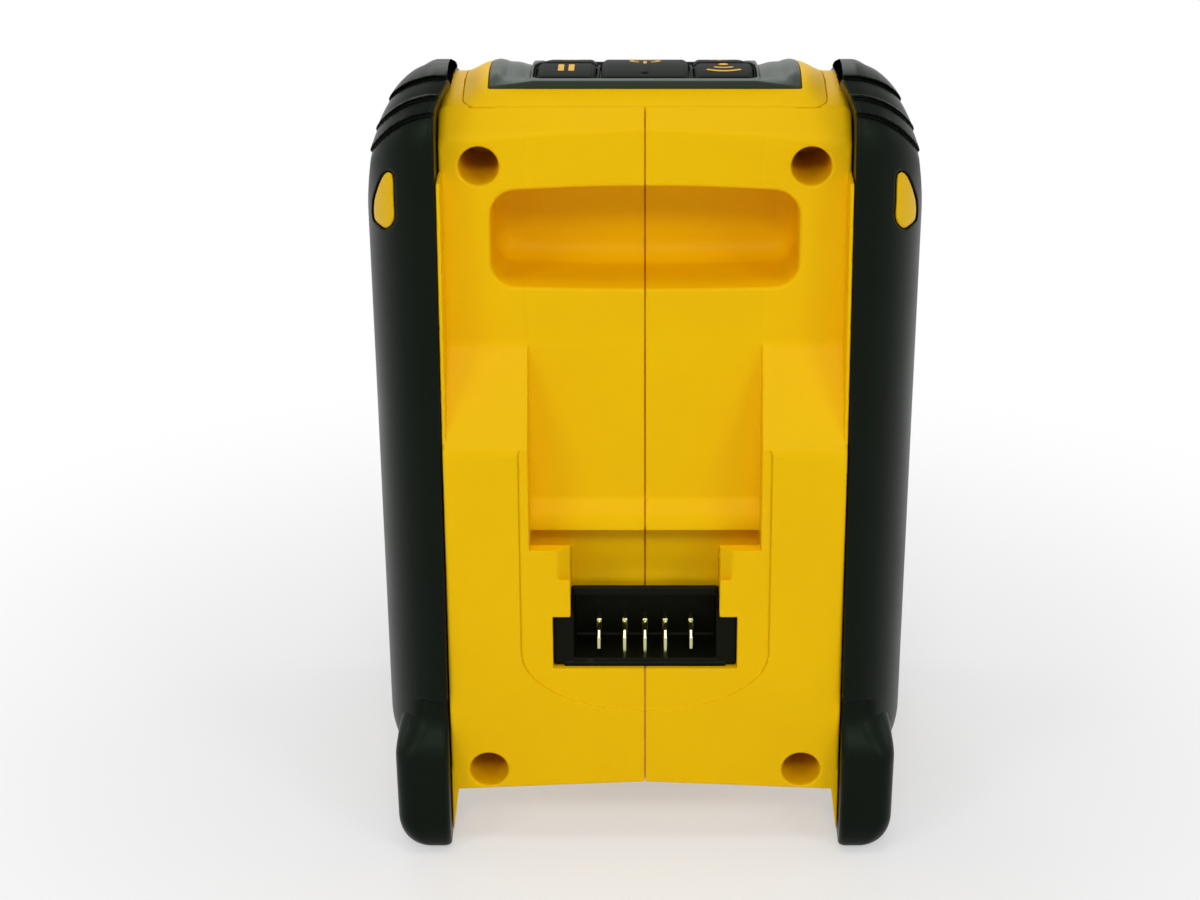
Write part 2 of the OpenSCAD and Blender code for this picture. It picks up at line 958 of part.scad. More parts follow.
// Rounded rectangle of the grille opening, grown or shrunk by some distance
function grille_outline(grow) =
    let (
        x = grille_w / 2 - grille_r, low = grille_z + grille_r,
        high = grille_z + grille_h - grille_r, r = grille_r + grow
    )
    concat(
        arc(x, low, r, -90, 0, 8), arc(x, high, r, 0, 90, 8),
        arc(-x, high, r, 90, 180, 8), arc(-x, low, r, 180, 270, 8)
    );

// How far a point lies inside the grille's outline
function grille_depth(x, z) =
    let (
        side = max(abs(x) - grille_w / 2 + grille_r, 0),
        mid = grille_z + grille_h / 2,
        end = max(abs(z - mid) - grille_h / 2 + grille_r, 0)
    )
    grille_r - norm([side, end]);

module front_frame() {
    color(yellow) difference() {
        union() {
            difference() {
                union() {
                    intersection() {
                        along_x(-panel_x, panel_x) polygon(front_outline(0));
                        under_crown(0);
                    }
                    for (side = [0, 1])
                        mirror([side, 0, 0]) intersection() {
                            bumper_core(0);
                            box([0, -foot_y, 0], [outer_x, split_y - fit, body_h]);
                        }
                }
                intersection() {
                    along_x(-panel_x + wall, panel_x - wall) polygon(front_outline(wall));
                    under_crown(wall);
                }
                for (side = [0, 1])
                    mirror([side, 0, 0]) side_hollow(-foot_y, split_y + 1);
            }
            for (side = [0, 1])
                mirror([side, 0, 0]) {
                    mirror([0, 1, 0]) leg(0);
                    frame_posts();
                }
        }
        along_y(-foot_y, face_y + wall + 1) polygon(grille_outline(-grille_seat));
        along_y(-foot_y, face_y + grille_sink) polygon(grille_outline(fit));
        belly_cut();
    }
}

// Posts that the four housing screws bite into
module frame_posts() {
    difference() {
        intersection() {
            posts(0);
            union() {
                along_x(0, panel_x) polygon(front_outline(0));
                box([0, split_y - 1, leg_h + 1], [panel_x, foot_y, well_z[1] + post_d]);
            }
        }
        for (z = well_z)
            rod_y(well_pitch / 2, z, tower_end - thread_len, tower_end + 1, screw_d - 2 * slip);
    }
}

grille_rim = 4;

module grille() {
    row_pitch = hole_pitch * sin(60);
    rows = floor((grille_h / 2 - grille_rim) / row_pitch);
    columns = floor(grille_w / 2 / hole_pitch) + 1;
    color(black) along_y(face_y + grille_sink - grille_t, face_y + grille_sink) difference() {
        polygon(grille_outline(0));
        for (row = [-rows : rows], column = [-columns : columns]) {
            x = hole_pitch * (column + (abs(row) % 2) / 2);
            z = grille_z + grille_h / 2 + row_pitch * row;
            if (grille_depth(x, z) > grille_rim + hole_w / 2)
                translate([x, z]) rotate(30) circle(d = hole_w / cos(30), $fn = 6);
        }
    }
}

driver_z = grille_z + (grille_h - driver_pitch) / 2 + driver_lift;
driver_heights = [driver_z, driver_z + driver_pitch];
driver_screw_inset = 3;
driver_screw_r = driver_d / 2 - driver_screw_inset;
driver_screw_d = 2.5;
driver_screw_bite = 3;
driver_hole_d = 3.4;
driver_seat = 4.5;
flange_t = 2;
flange_w = 9;
gasket_t = 1.5;
roll_r = 4;
ring_r = driver_d / 2 - flange_w;
cone_r = ring_r - 2 * roll_r;

// Four holes round each loudspeaker
module driver_holes(z, from, to, d) {
    for (a = [45 : 90 : 315])
        rod_y(driver_screw_r * cos(a), z + driver_screw_r * sin(a), from, to, d);
}

module baffle() {
    side = panel_x - wall - 0.7;
    top = face_top - face_bend / 2;
    color([0.09, 0.09, 0.09]) difference() {
        along_y(baffle_y, baffle_y + baffle_t) difference() {
            translate([-side, floor_z + slip]) square([2 * side, top - floor_z - slip]);
            for (x = [-1, 1], z = well_z)
                translate([x * well_pitch / 2, z]) circle(d = post_d + 1, $fn = 32);
        }
        for (z = driver_heights) {
            rod_y(0, z, baffle_y - 1, baffle_y + baffle_t + 1, driver_d - 2 * driver_seat);
            driver_holes(z, baffle_y - 1, baffle_y + baffle_t + 1, driver_screw_d + 0.1);
        }
    }
}

// Loudspeakers: each is a set of turned pieces about an axis along Y

// Turns an outline of (radius, depth behind the flange's front) about the driver's axis
module turned(z) {
    translate([0, baffle_y - gasket_t - flange_t, z]) rotate([-90, 0, 0])
        rotate_extrude($fn = 48) children();
}

magnet_t = 12;
magnet_r = 29;
plate_t = 4;
coil_r = 12.5;
coil_gap = 0.9;
basket_t = 1.5;
window_w = 16;
basket_depth = driver_depth - magnet_t - plate_t;

module driver_basket(z) {
    r = driver_d / 2;
    neck_r = coil_r + 13;
    color([0.16, 0.16, 0.17]) difference() {
        turned(z) polygon([
            [ring_r, 0], [r, 0], [r, flange_t], [ring_r + 3, flange_t],
            [ring_r, 8], [neck_r, basket_depth - 1], [neck_r, basket_depth],
            [coil_r + 1, basket_depth], [coil_r + 1, basket_depth - basket_t],
            [neck_r - 2, basket_depth - basket_t], [ring_r - 2, 7]
        ]);
        driver_holes(z, baffle_y - gasket_t - flange_t - 1, baffle_y, driver_hole_d);
        basket_windows(z);
    }
}

// Four vents between the basket's spokes
module basket_windows(z) {
    front = baffle_y - gasket_t - flange_t;
    for (a = [0 : 90 : 270])
        translate([0, 0, z]) rotate([0, a, 0])
            box(
                [coil_r + 12, front + 9, -window_w / 2],
                [driver_d / 2, front + basket_depth - 2 * basket_t, window_w / 2]
            );
}

// Rubber half roll between the basket's ring and the cone's rim
module driver_surround(z) {
    skin = 1;
    mid = ring_r - roll_r;
    bulge = 0.8;
    color([0.06, 0.06, 0.06]) turned(z) polygon(concat(
        [[ring_r + 3, 0], [ring_r + 3, -skin], [ring_r, -skin]],
        [
            for (a = [20 : 20 : 160])
                [mid + roll_r * cos(a), -skin - roll_r * bulge * sin(a)]
        ],
        [[cone_r, -skin], [cone_r - 2, -skin], [cone_r - 2, 0], [cone_r + skin, 0]],
        [
            for (a = [160 : -20 : 20])
                [mid + (roll_r - skin) * cos(a), -(roll_r - skin) * bulge * sin(a) - 0.2]
        ],
        [[ring_r - skin, 0]]
    ));
}

// Paper cone with its dust cap and the voice coil's former
module driver_cone(z) {
    neck = basket_depth - 6;
    skin = 0.8;
    dome = 4;
    former_r = coil_r + skin / 2;
    color([0.13, 0.13, 0.13]) turned(z) polygon(concat(
        [[cone_r, 0], [cone_r, skin], [former_r, neck], [former_r, basket_depth + plate_t]],
        [[former_r - skin, basket_depth + plate_t], [former_r - skin, neck - skin]],
        [
            for (a = [0 : 15 : 90])
                [(former_r - skin) * cos(a), neck - 2 * skin - dome * sin(a)]
        ],
        [
            for (a = [90 : -15 : 15])
                [former_r * cos(a), neck - 3 * skin - dome * sin(a)]
        ],
        [[former_r, neck - 3 * skin], [cone_r - 2, 0]]
    ));
}

module driver_magnet(z) {
    gap_in = coil_r - coil_gap;
    gap_out = coil_r + coil_gap;
    edge = 2;
    color([0.3, 0.3, 0.31]) turned(z) polygon([
        [gap_out, basket_depth + fit], [magnet_r, basket_depth + fit],
        [magnet_r, driver_depth - edge], [magnet_r - edge, driver_depth], [0, driver_depth],
        [0, basket_depth], [gap_in, basket_depth],
        [gap_in, driver_depth - plate_t], [gap_out, driver_depth - plate_t]
    ]);
}

module driver_gaskets() {
    color([0.1, 0.1, 0.1]) for (z = driver_heights)
        difference() {
            rod_y(0, z, baffle_y - gasket_t, baffle_y, driver_d - 0.5);
            rod_y(0, z, baffle_y - gasket_t - 1, baffle_y + 1, driver_d - 2 * driver_seat - 2);
            driver_holes(z, baffle_y - gasket_t - 1, baffle_y + 1, driver_hole_d);
        }
}

module driver_screws() {
    head_y = baffle_y - gasket_t - flange_t;
    head_h = 1.8;
    tip_y = baffle_y + baffle_t + driver_screw_bite;
    color(steel) for (z = driver_heights) {
        driver_holes(z, head_y - head_h, head_y, driver_screw_d + 2.9);
        driver_holes(z, head_y - eps, tip_y, driver_screw_d);
    }
}

// Terminal block and its blades

blade_x = concat(-reversed(blade_offsets), [blade_offsets[1], blade_offsets[2]]);
block_inset = 3;
block_lip = 2.2;
block_base = 4;
neck_inset = 6;
neck_wall = 1.2;
block_face = cheek_y - block_inset;

// Lower and upper edge of a blade's root, above the block's lower edge
blade_root = [5, 15.8];
outer_blade_rise = 2;

module terminal_block() {
    inner_x = rail_gap / 2 - neck_wall;
    color([0.09, 0.1, 0.07]) difference() {
        union() {
            box(
                [-block_w / 2, block_back + fit, block_z + fit],
                [block_w / 2, block_face, ear_top - fit]
            );
            box(
                [-rail_gap / 2 + fit, block_back + fit, ear_top - 1],
                [rail_gap / 2 - fit, block_face - neck_inset, neck_top - fit]
            );
        }
        box(
            [-inner_x, block_back + block_base, block_z + block_lip],
            [inner_x, block_face + 1, neck_top - block_lip]
        );
        for (x = blade_x)
            box(
                [x - blade_t / 2, block_back - 1, block_z + blade_root[0] - 2 * slip],
                [x + blade_t / 2, block_back + block_base + 1, block_z + blade_root[1] + fit]
            );
    }
}

// The middle blades reach lower than the outer two, and all have a stepped upper corner
module terminal_blades() {
    tip_y = block_face - neck_inset;
    root_y = block_back + 1;
    top = block_z + blade_root[1];
    half = blade_t / 2 - eps;
    color(steel) for (x = blade_x) {
        low = block_z + blade_root[0] + (abs(x) > blade_offsets[1] + 1 ? outer_blade_rise : 0);
        along_x(x - half, x + half)
            polygon([
                [root_y, low], [tip_y, low], [tip_y, low + 8],
                [tip_y - 2, top - 0.3], [tip_y - 4, top - 0.3],
                [tip_y - 6, top], [root_y, top]
            ]);
    }
}

// Amplifier board

module amplifier_board() {
    color([0.05, 0.3, 0.14]) difference() {
        box(
            [-board_w / 2, board_y, board_top_z - board_h],
            [board_w / 2, board_y + board_t, board_top_z]
        );
        for (x = [-board_x, board_x], z = board_z)
            rod_y(x, z, board_y - 1, board_y + board_t + 1, board_screw_d + slip);
    }
}

capacitor_d = 10;
capacitor_h = 12;
capacitor_x = [-0.52, -0.22];
sink_w = 24;
sink_h = 28;
sink_depth = 12;
fin_pitch = 4;
socket_w = 10;
socket_h = 6;
socket_depth = 7;

// Capacitors, finned heat sink and plug sockets on the side of the board that faces the magnets
module board_components() {
    mid_z = board_top_z - board_h / 2;
    low_z = board_top_z - board_h + 1;
    sink_x = board_w / 14;
    color([0.2, 0.2, 0.25])
        for (share = capacitor_x, side = [-1, 1])
            rod_y(
                share * board_w / 2, mid_z + side * board_h / 4.4,
                board_y - capacitor_h, board_y, capacitor_d
            );
    color([0.5, 0.5, 0.52]) difference() {
        box([sink_x, board_y - sink_depth, mid_z - sink_h / 2],
            [sink_x + sink_w, board_y, mid_z + sink_h / 2]);
        for (x = [sink_x + 3 : fin_pitch : sink_x + sink_w - 3])
            box(
                [x, board_y - sink_depth - 1, mid_z - sink_h],
                [x + fin_pitch / 2, board_y - sink_depth / 4, mid_z + sink_h]
            );
    }
    color([0.9, 0.9, 0.85])
        for (i = [-1 : 1])
            box(
                [i * 1.6 * socket_w - socket_w / 2, board_y - socket_depth, low_z],
                [i * 1.6 * socket_w + socket_w / 2, board_y, low_z + socket_h]
            );
}

module radio_module() {
    mid_z = board_top_z - board_h / 2;
    left = -board_w / 2 + 8;
    color(steel)
        box([left, board_y - 2.4, mid_z - 9], [left + 6, board_y, mid_z + 9]);
}

// Fasteners

housing_screw_head = 8;
screw_head_h = 2.6;
screw_bite = 14;

module housing_screws() {
    color([0.25, 0.25, 0.26])
        for (x = [-1, 1], z = well_z) {
            rod_y(x * well_pitch / 2, z, well_y, well_y + screw_head_h, housing_screw_head);
            rod_y(
                x * well_pitch / 2, z, tower_end - screw_bite, well_y + eps,
                screw_d - 2 * slip
            );
        }
}

module board_screws() {
    color([0.25, 0.25, 0.26])
        for (x = [-board_x, board_x], z = board_z) {
            rod_y(x, z, board_y - 2, board_y, board_screw_d + 2.5);
            rod_y(x, z, board_y - eps, board_y + board_t + board_bite, board_screw_d);
        }
}

// Rubber pieces

ridge_start = 44;
ridge_step = 12.5;
ridge_groove = 2.4;

// Wedges that cut the grip ridges out of a slightly larger bumper
module ridge_wedges(corner, turn) {
    reach = 60;
    for (i = [0 : ridge_count - 1]) {
        a = ridge_start + i * ridge_step + ridge_groove / 2;
        b = ridge_start + (i + 1) * ridge_step - ridge_groove / 2 + (i == ridge_count - 1 ? 8 : 0);
        along_x(panel_x, outer_x + 5)
            polygon([
                for (p = [[10, a], [reach, a], [reach, b], [10, b]])
                    [corner[0] + turn * p[0] * cos(p[1]), corner[1] + p[0] * sin(p[1])]
            ]);
    }
}

// Outline of the inlay, seen from the battery side
inlay_side = 13;
inlay_drop = 28.3;
inlay_d = 36;
inlay_x = panel_x + inlay_side;
inlay_z = body_h - inlay_drop - inlay_h;

function inlay_outline(grow) = [
    [inlay_x - grow, inlay_z + inlay_h * 0.9],
    [inlay_x + 0.8, inlay_z + inlay_h + grow],
    [inlay_x + 2.4, inlay_z + inlay_h + grow],
    [inlay_x + inlay_w * 0.75 + grow, inlay_z + inlay_h * 0.72 + grow],
    [inlay_x + inlay_w + grow, inlay_z + inlay_h * 0.45],
    [inlay_x + inlay_w + grow, inlay_z + inlay_h * 0.22],
    [inlay_x + inlay_w * 0.5, inlay_z - grow],
    [inlay_x + inlay_w * 0.25, inlay_z - grow],
    [inlay_x - grow, inlay_z + inlay_h * 0.18]
];

module side_bumper() {
    color(rubber) difference() {
        union() {
            bumper_body(0);
            intersection() {
                bumper_body(ridge_h);
                union() {
                    ridge_wedges(corners[1], 1);
                    ridge_wedges(corners[2], -1);
                }
            }
        }
        bumper_core(fit);
        leg(fit);
        mirror([0, 1, 0]) leg(fit);
        for (side = [-1, 1])
            box(
                [panel_x - 1, side > 0 ? foot_y - foot_d - 0.2 : -foot_y - 1, 0],
                [outer_x + 5, side > 0 ? foot_y + 1 : -foot_y + foot_d + 0.2, foot_h + 0.2]
            );
        along_y(bumper_y - inlay_d, foot_y) polygon(inlay_outline(0.2));
    }
}

module side_bumper_left() {
    side_bumper();
}

module side_bumper_right() {
    right_side() side_bumper();
}

module bumper_inlay() {
    color(yellow) difference() {
        intersection() {
            bumper_body(slip);
            along_y(bumper_y - inlay_d + 0.2, foot_y) polygon(inlay_outline(0));
        }
        bumper_core(fit);
    }
}

module bumper_inlay_left() {
    bumper_inlay();
}

module bumper_inlay_right() {
    right_side() bumper_inlay();
}

// Plan of a foot, inset from its outer and rear sides only
foot_corner_r = 8;
foot_edge_r = 3;

module foot_plan(inset) {
    polygon(concat(
        [
            [panel_x + fit, foot_y - foot_d + min(inset, 2)],
            [foot_outer_x - inset, foot_y - foot_d + min(inset, 2)]
        ],
        arc(
            foot_outer_x - foot_corner_r, foot_y - foot_corner_r,
            foot_corner_r - inset, 0, 90, 8
        ),
        arc(
            panel_x + fit + foot_edge_r, foot_y - foot_edge_r - max(inset - 2.5, 0),
            max(foot_edge_r - inset, 0.5), 90, 180, 4
        )
    ));
}

// [height as a share of the foot, inset] of the slices that shape a foot
foot_slices = [
    [0, 4], [0.02, 2], [0.06, 0.6], [0.12, 0], [0.72, 0], [0.85, 1.2], [0.96, 4], [1, 6.2]
];

module foot() {
    color(rubber) difference() {
        hull()
            for (s = foot_slices)
                translate([0, 0, s[0] * (foot_h - slice_t)])
                    linear_extrude(slice_t) foot_plan(s[1]);
        leg(fit);
    }
}

module rear_foot_left() {
    foot();
}

module rear_foot_right() {
    right_side() foot();
}

module front_foot_left() {
    mirror([0, 1, 0]) foot();
}

module front_foot_right() {
    mirror([0, 1, 0]) right_side() foot();
}

rear_shell_left();
rear_shell_right();
top_cap();
front_frame();
grille();
baffle();
side_bumper_left();
side_bumper_right();
rear_foot_left();
rear_foot_right();
front_foot_left();
front_foot_right();
bumper_inlay_left();
bumper_inlay_right();
control_panel();
power_key();
pause_key();
pair_key();
volume_up_key();
volume_down_key();
key_board();
key_switches();
terminal_block();
terminal_blades();
driver_basket(driver_heights[1]);  // upper_driver_basket
driver_surround(driver_heights[1]);  // upper_driver_surround
driver_cone(driver_heights[1]);  // upper_driver_cone
driver_magnet(driver_heights[1]);  // upper_driver_magnet
driver_basket(driver_heights[0]);  // lower_driver_basket
driver_surround(driver_heights[0]);  // lower_driver_surround
driver_cone(driver_heights[0]);  // lower_driver_cone
driver_magnet(driver_heights[0]);  // lower_driver_magnet
driver_gaskets();
amplifier_board();
board_components();
radio_module();
housing_screws();
driver_screws();
board_screws();
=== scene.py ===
import json
import math

import bpy
import numpy as np
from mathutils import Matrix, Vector


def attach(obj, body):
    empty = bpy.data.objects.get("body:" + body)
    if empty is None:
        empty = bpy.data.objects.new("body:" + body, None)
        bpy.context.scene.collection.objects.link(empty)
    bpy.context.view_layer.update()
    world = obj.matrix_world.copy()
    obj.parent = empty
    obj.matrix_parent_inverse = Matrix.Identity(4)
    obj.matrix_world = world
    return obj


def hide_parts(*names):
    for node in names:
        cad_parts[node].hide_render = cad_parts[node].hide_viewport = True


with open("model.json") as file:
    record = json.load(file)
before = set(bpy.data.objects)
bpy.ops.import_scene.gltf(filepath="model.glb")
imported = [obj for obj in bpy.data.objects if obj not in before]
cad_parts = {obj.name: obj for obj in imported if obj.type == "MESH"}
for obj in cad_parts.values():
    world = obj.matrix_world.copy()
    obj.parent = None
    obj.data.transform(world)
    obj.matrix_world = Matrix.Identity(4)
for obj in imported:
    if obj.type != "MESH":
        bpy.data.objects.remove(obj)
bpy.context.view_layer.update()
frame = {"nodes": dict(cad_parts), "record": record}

# Everything is drawn in millimetres in the CAD frame and turned into metres at the end.
# +Y is the battery side, +X the left side as seen from there.
MM = 0.001

# Levels shared with the CAD model, and by more than one piece
PANEL_X = 66.5  # side of the housing, under the bumpers
FACE_Y = -69.0  # grille side
CHEEK_Y = 68.0  # raised cheeks beside the battery
FLOOR_Y = 50.0  # rear wall between the cheeks
LATCH_Y = 44.0  # bottom of the latch recess
POCKET_Y = 19.0  # bottom of the finger pocket
SEAM_Y = 43.0  # seam between the top cap and the rear shells
SPLIT_Y = -45.0  # joint between the rear shells and the front frame
CREST_Y = 24.0  # line along which the crown is highest
TOP_Z = 264.3  # crown at its crest
SEAM_Z = 258.1  # crown at its rear seam
LEG_Z = 21.0  # bottom of the housing, between its legs
RAIL_TOP = 112.1  # upper end of the battery rails
WALL = 2.8  # thickness of the housing
CAP_X = 58.6  # half width of the top cap
WELLS = ((53.5, 29.0), (53.5, 240.0))  # x and z of the lower and upper screw wells
WELL_Y = 13.0  # bottom of the wells
GRIP_BACK_Y, GRIP_LEAN_Z, GRIP_LEAN = 72.0, 47.0, 0.048  # back of the bumpers and how it leans
SHOULDER_Y, SHOULDER_Z, SHOULDER_R = 28.0, 233.4, 35.0  # round shoulder of the bumpers
DIAGONAL = 0.7071  # makes the distance from a slope of 45 degrees true


# Signed distances: negative inside, in millimetres

def both(a, b, r=0.0):
    """What lies inside a and b, with the edge between them rounded."""
    if np.ndim(r) == 0 and r <= 0:
        return np.maximum(a, b)
    return np.minimum(-r, np.maximum(a, b)) + np.hypot(np.maximum(r + a, 0), np.maximum(r + b, 0))


def either(a, b, r=0.0):
    """What lies inside a or b, with the corner between them filled."""
    if r <= 0:
        return np.minimum(a, b)
    return np.maximum(r, np.minimum(a, b)) - np.hypot(np.maximum(r - a, 0), np.maximum(r - b, 0))


def without(a, b, r=0.0):
    """What lies inside a and outside b."""
    return both(a, -b, r)


def slab(v, low, high):
    """Distance outside the span from low to high."""
    return np.maximum(low - v, v - high)


def smooth(v, low, high):
    """Rises gently from 0 at low to 1 at high."""
    t = np.clip((v - low) / (high - low), 0, 1)
    return t * t * (3 - 2 * t)


def outline_distance(u, v, points):
    """Distance in a plane to a closed outline, negative inside."""
    pts = np.asarray(points, dtype=np.float32)
    best = np.full(u.shape, 1e9, dtype=np.float32)
    sign = np.ones(u.shape, dtype=np.float32)
    for (ax, ay), (bx, by) in zip(pts, np.roll(pts, -1, 0)):
        ex, ey = bx - ax, by - ay
        wx, wy = u - ax, v - ay
        t = np.clip((wx * ex + wy * ey) / (ex * ex + ey * ey), 0, 1)
        best = np.minimum(best, (wx - ex * t) ** 2 + (wy - ey * t) ** 2)
        above, below = v >= ay, v < by
        turn = ex * wy > ey * wx
        sign[(above & below & turn) | (~above & ~below & ~turn)] *= -1
    return sign * np.sqrt(best)


# Surface mesher

BLOCK, BATCH = 16, 64  # cells along a block, and blocks that are sampled at once
BLOCK_SLACK = 1.3  # how much more than the truth a field may say
SLOPE_STEP, FLATTEST = 0.03, 0.05
CORNERS = np.array([[i, j, k] for i in (0, 1) for j in (0, 1) for k in (0, 1)])
EDGES = [
    (a, b) for a in range(8) for b in range(a + 1, 8)
    if np.abs(CORNERS[a] - CORNERS[b]).sum() == 1
]


def sample(field, points):
    """Values of a field at points in any arrangement."""
    p = np.ascontiguousarray(points.reshape(-1, 3).T, dtype=np.float32)
    return field(p[0], p[1], p[2]).reshape(points.shape[:-1])


def slopes(field, points):
    """Gradient of a field, by differences."""
    p = points.astype(np.float64)
    out = np.empty_like(p)
    for axis in range(3):
        shift = np.zeros(3)
        shift[axis] = SLOPE_STEP
        a, b = p + shift, p - shift
        out[:, axis] = field(*a.T) - field(*b.T)
    return out / (2 * SLOPE_STEP)


def surface_of(field, low, high, cell):
    """Points and four-sided faces of the surface where a field crosses zero."""
    low = np.asarray(low, float) - 1.5 * cell
    high = np.asarray(high, float) + 1.5 * cell
    blocks = np.ceil((high - low) / cell / BLOCK).astype(int)
    starts = np.stack(np.meshgrid(*[np.arange(n) for n in blocks], indexing="ij"), -1)
    starts = starts.reshape(-1, 3) * BLOCK
    reach = BLOCK_SLACK * BLOCK * cell * math.sqrt(3) / 2
    starts = starts[np.abs(sample(field, low + (starts + BLOCK / 2) * cell)) < reach]
    stride = (blocks + 2) * BLOCK
    ticks = np.arange(BLOCK + 1)
    grid = np.stack(np.meshgrid(ticks, ticks, ticks, indexing="ij"), -1)
    ids, spots, quads = [], [], []

    def number(cells):
        c = cells + 1
        return (c[:, 0] * stride[1] + c[:, 1]) * stride[2] + c[:, 2]

    for begin in range(0, len(starts), BATCH):
        chunk = starts[begin:begin + BATCH]
        v = sample(field, low + (chunk[:, None, None, None] + grid) * cell)
        solid = v < 0
        count = sum(
            solid[:, i:BLOCK + i, j:BLOCK + j, k:BLOCK + k].astype(np.int8) for i, j, k in CORNERS
        )
        which, i, j, k = np.nonzero((count > 0) & (count < 8))
        base = np.stack([i, j, k], 1)
        at = [v[which, i + a, j + b, k + c] for a, b, c in CORNERS]
        total, hits = np.zeros((len(i), 3)), np.zeros(len(i))
        for a, b in EDGES:
            cross = (at[a] < 0) != (at[b] < 0)
            t = np.where(cross, at[a] / np.where(cross, at[a] - at[b], 1), 0)
            spot = CORNERS[a] + (CORNERS[b] - CORNERS[a]) * t[:, None]
            total += spot * cross[:, None]
            hits += cross
        ids.append(number(chunk[which] + base))
        spots.append(low + (chunk[which] + base + total / hits[:, None]) * cell)
        for axis in range(3):
            b, c = (axis + 1) % 3, (axis + 2) % 3
            first = solid[:, :BLOCK, :BLOCK, :BLOCK]
            ahead = np.roll(solid, -1, axis + 1)[:, :BLOCK, :BLOCK, :BLOCK]
            which, i, j, k = np.nonzero(first != ahead)
            at_start = chunk[which] + np.stack([i, j, k], 1)
            back_b, back_c = np.eye(3, dtype=int)[b], np.eye(3, dtype=int)[c]
            ring = np.stack([
                number(at_start - back_b - back_c), number(at_start - back_c),
                number(at_start), number(at_start - back_b)
            ], 1)
            flip = ~first[which, i, j, k]
            ring[flip] = ring[flip][:, ::-1]
            quads.append(ring)
    ids, spots, quads = np.concatenate(ids), np.concatenate(spots), np.concatenate(quads)
    order = np.argsort(ids)
    ids, spots = ids[order], spots[order]
    place = np.searchsorted(ids, quads)
    place = np.minimum(place, len(ids) - 1)
    return spots, place[(ids[place] == quads).all(1)]


def settle(field, points, most, rounds):
    """Moves points onto the surface of a field, none by more than a given way."""
    start = points.copy()
    for _ in range(rounds):
        g = slopes(field, points)
        size = np.maximum((g * g).sum(1), FLATTEST)
        points = points - (field(*points.T) / size)[:, None] * g
        shift = points - start
        far = np.maximum(np.sqrt((shift ** 2).sum(1)) / most, 1)
        points = start + shift / far[:, None]
    return points


def make_object(name, points, faces):
    """Object from points in millimetres and faces with the same number of sides."""
    mesh = bpy.data.meshes.new(name)
    mesh.vertices.add(len(points))
    mesh.vertices.foreach_set("co", (points * MM).astype(np.float32).ravel())
    sides = faces.shape[1]
    mesh.loops.add(faces.size)
    mesh.loops.foreach_set("vertex_index", faces.astype(np.int32).ravel())
    mesh.polygons.add(len(faces))
    mesh.polygons.foreach_set("loop_start", np.arange(0, faces.size, sides, dtype=np.int32))
    mesh.polygons.foreach_set("loop_total", np.full(len(faces), sides, dtype=np.int32))
    mesh.update(calc_edges=True)
    mesh.validate()
    piece = bpy.data.objects.new(name, mesh)
    bpy.context.scene.collection.objects.link(piece)
    return piece


def arrays_of(mesh):
    """Points in millimetres and triangles of a mesh."""
    points = np.empty(len(mesh.vertices) * 3, dtype=np.float32)
    mesh.vertices.foreach_get("co", points)
    mesh.calc_loop_triangles()
    faces = np.empty(len(mesh.loop_triangles) * 3, dtype=np.int32)
    mesh.loop_triangles.foreach_get("vertices", faces)
    return points.reshape(-1, 3).astype(float) / MM, faces.reshape(-1, 3)


def thin_out(points, faces, keep):
    """Fewer faces where the surface is flat."""
    rough = make_object("rough", points, faces)
    step = rough.modifiers.new("fewer", "DECIMATE")
    step.ratio = keep
    graph = bpy.context.evaluated_depsgraph_get()
    done = bpy.data.meshes.new_from_object(rough.evaluated_get(graph))
    result = arrays_of(done)
    old = rough.data
    bpy.data.objects.remove(rough)
    bpy.data.meshes.remove(old)
    bpy.data.meshes.remove(done)
    return result


MIRRORS = {"": (1, 1, 1), "x": (-1, 1, 1), "y": (1, -1, 1), "xy": (-1, -1, 1)}


def moulded(field, low, high, cell, pieces, keep=1.0):
    """Meshes a field once, for each piece in (name, mirror, body, slot, material, nodes)."""
    size = cell
    points, faces = surface_of(field, low, high, size)
    points = settle(field, points, size * 0.6, 2)
    if keep < 1:
        points, faces = thin_out(points, faces, keep)
        points = settle(field, points, size * 0.4, 1)
    normals = slopes(field, points)
    normals /= np.maximum(np.linalg.norm(normals, axis=1), 1e-6)[:, None]
    for name, mirror, body, slot, material, nodes in pieces:
        turn = np.array(MIRRORS[mirror], float)
        order = faces if turn.prod() > 0 else faces[:, ::-1]
        piece = make_object(name, points * turn, order)
        piece.data.shade_smooth()
        piece.data.normals_split_custom_set_from_vertices((normals * turn).astype(np.float32))
        finish_piece(piece, body, material, nodes)


def finish_piece(piece, body, material, nodes):
    """Gives a piece its material, the body it rides and the CAD nodes it stands for."""
    piece.data.materials.append(material)
    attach(piece, body)
    if nodes:
        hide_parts(*nodes)


# Materials

def linear(r, g, b):
    """Colour of a shader socket from the 0 to 255 that a screen shows."""
    shares = [c / 255 for c in (r, g, b)]
    return tuple(c / 12.92 if c <= 0.04045 else ((c + 0.055) / 1.055) ** 2.4 for c in shares) + (1,)


def group(name, inputs, outputs):
    """Empty shader node group with named sockets."""
    tree = bpy.data.node_groups.new(name, "ShaderNodeTree")
    for label, kind, value in inputs:
        made = tree.interface.new_socket(label, in_out="INPUT", socket_type=kind)
        made.default_value = value
    for label, kind in outputs:
        tree.interface.new_socket(label, in_out="OUTPUT", socket_type=kind)
    return tree, tree.nodes.new("NodeGroupInput"), tree.nodes.new("NodeGroupOutput")


def node(tree, kind, values=None, links=None, **settings):
    """New node with its settings, the constants of its sockets and what is linked to it."""
    made = tree.nodes.new(kind)
    for key, value in settings.items():
        setattr(made, key, value)
    for key, value in (values or {}).items():
        made.inputs[key].default_value = value
    for key, source in (links or {}).items():
        tree.links.new(source, made.inputs[key])
    return made


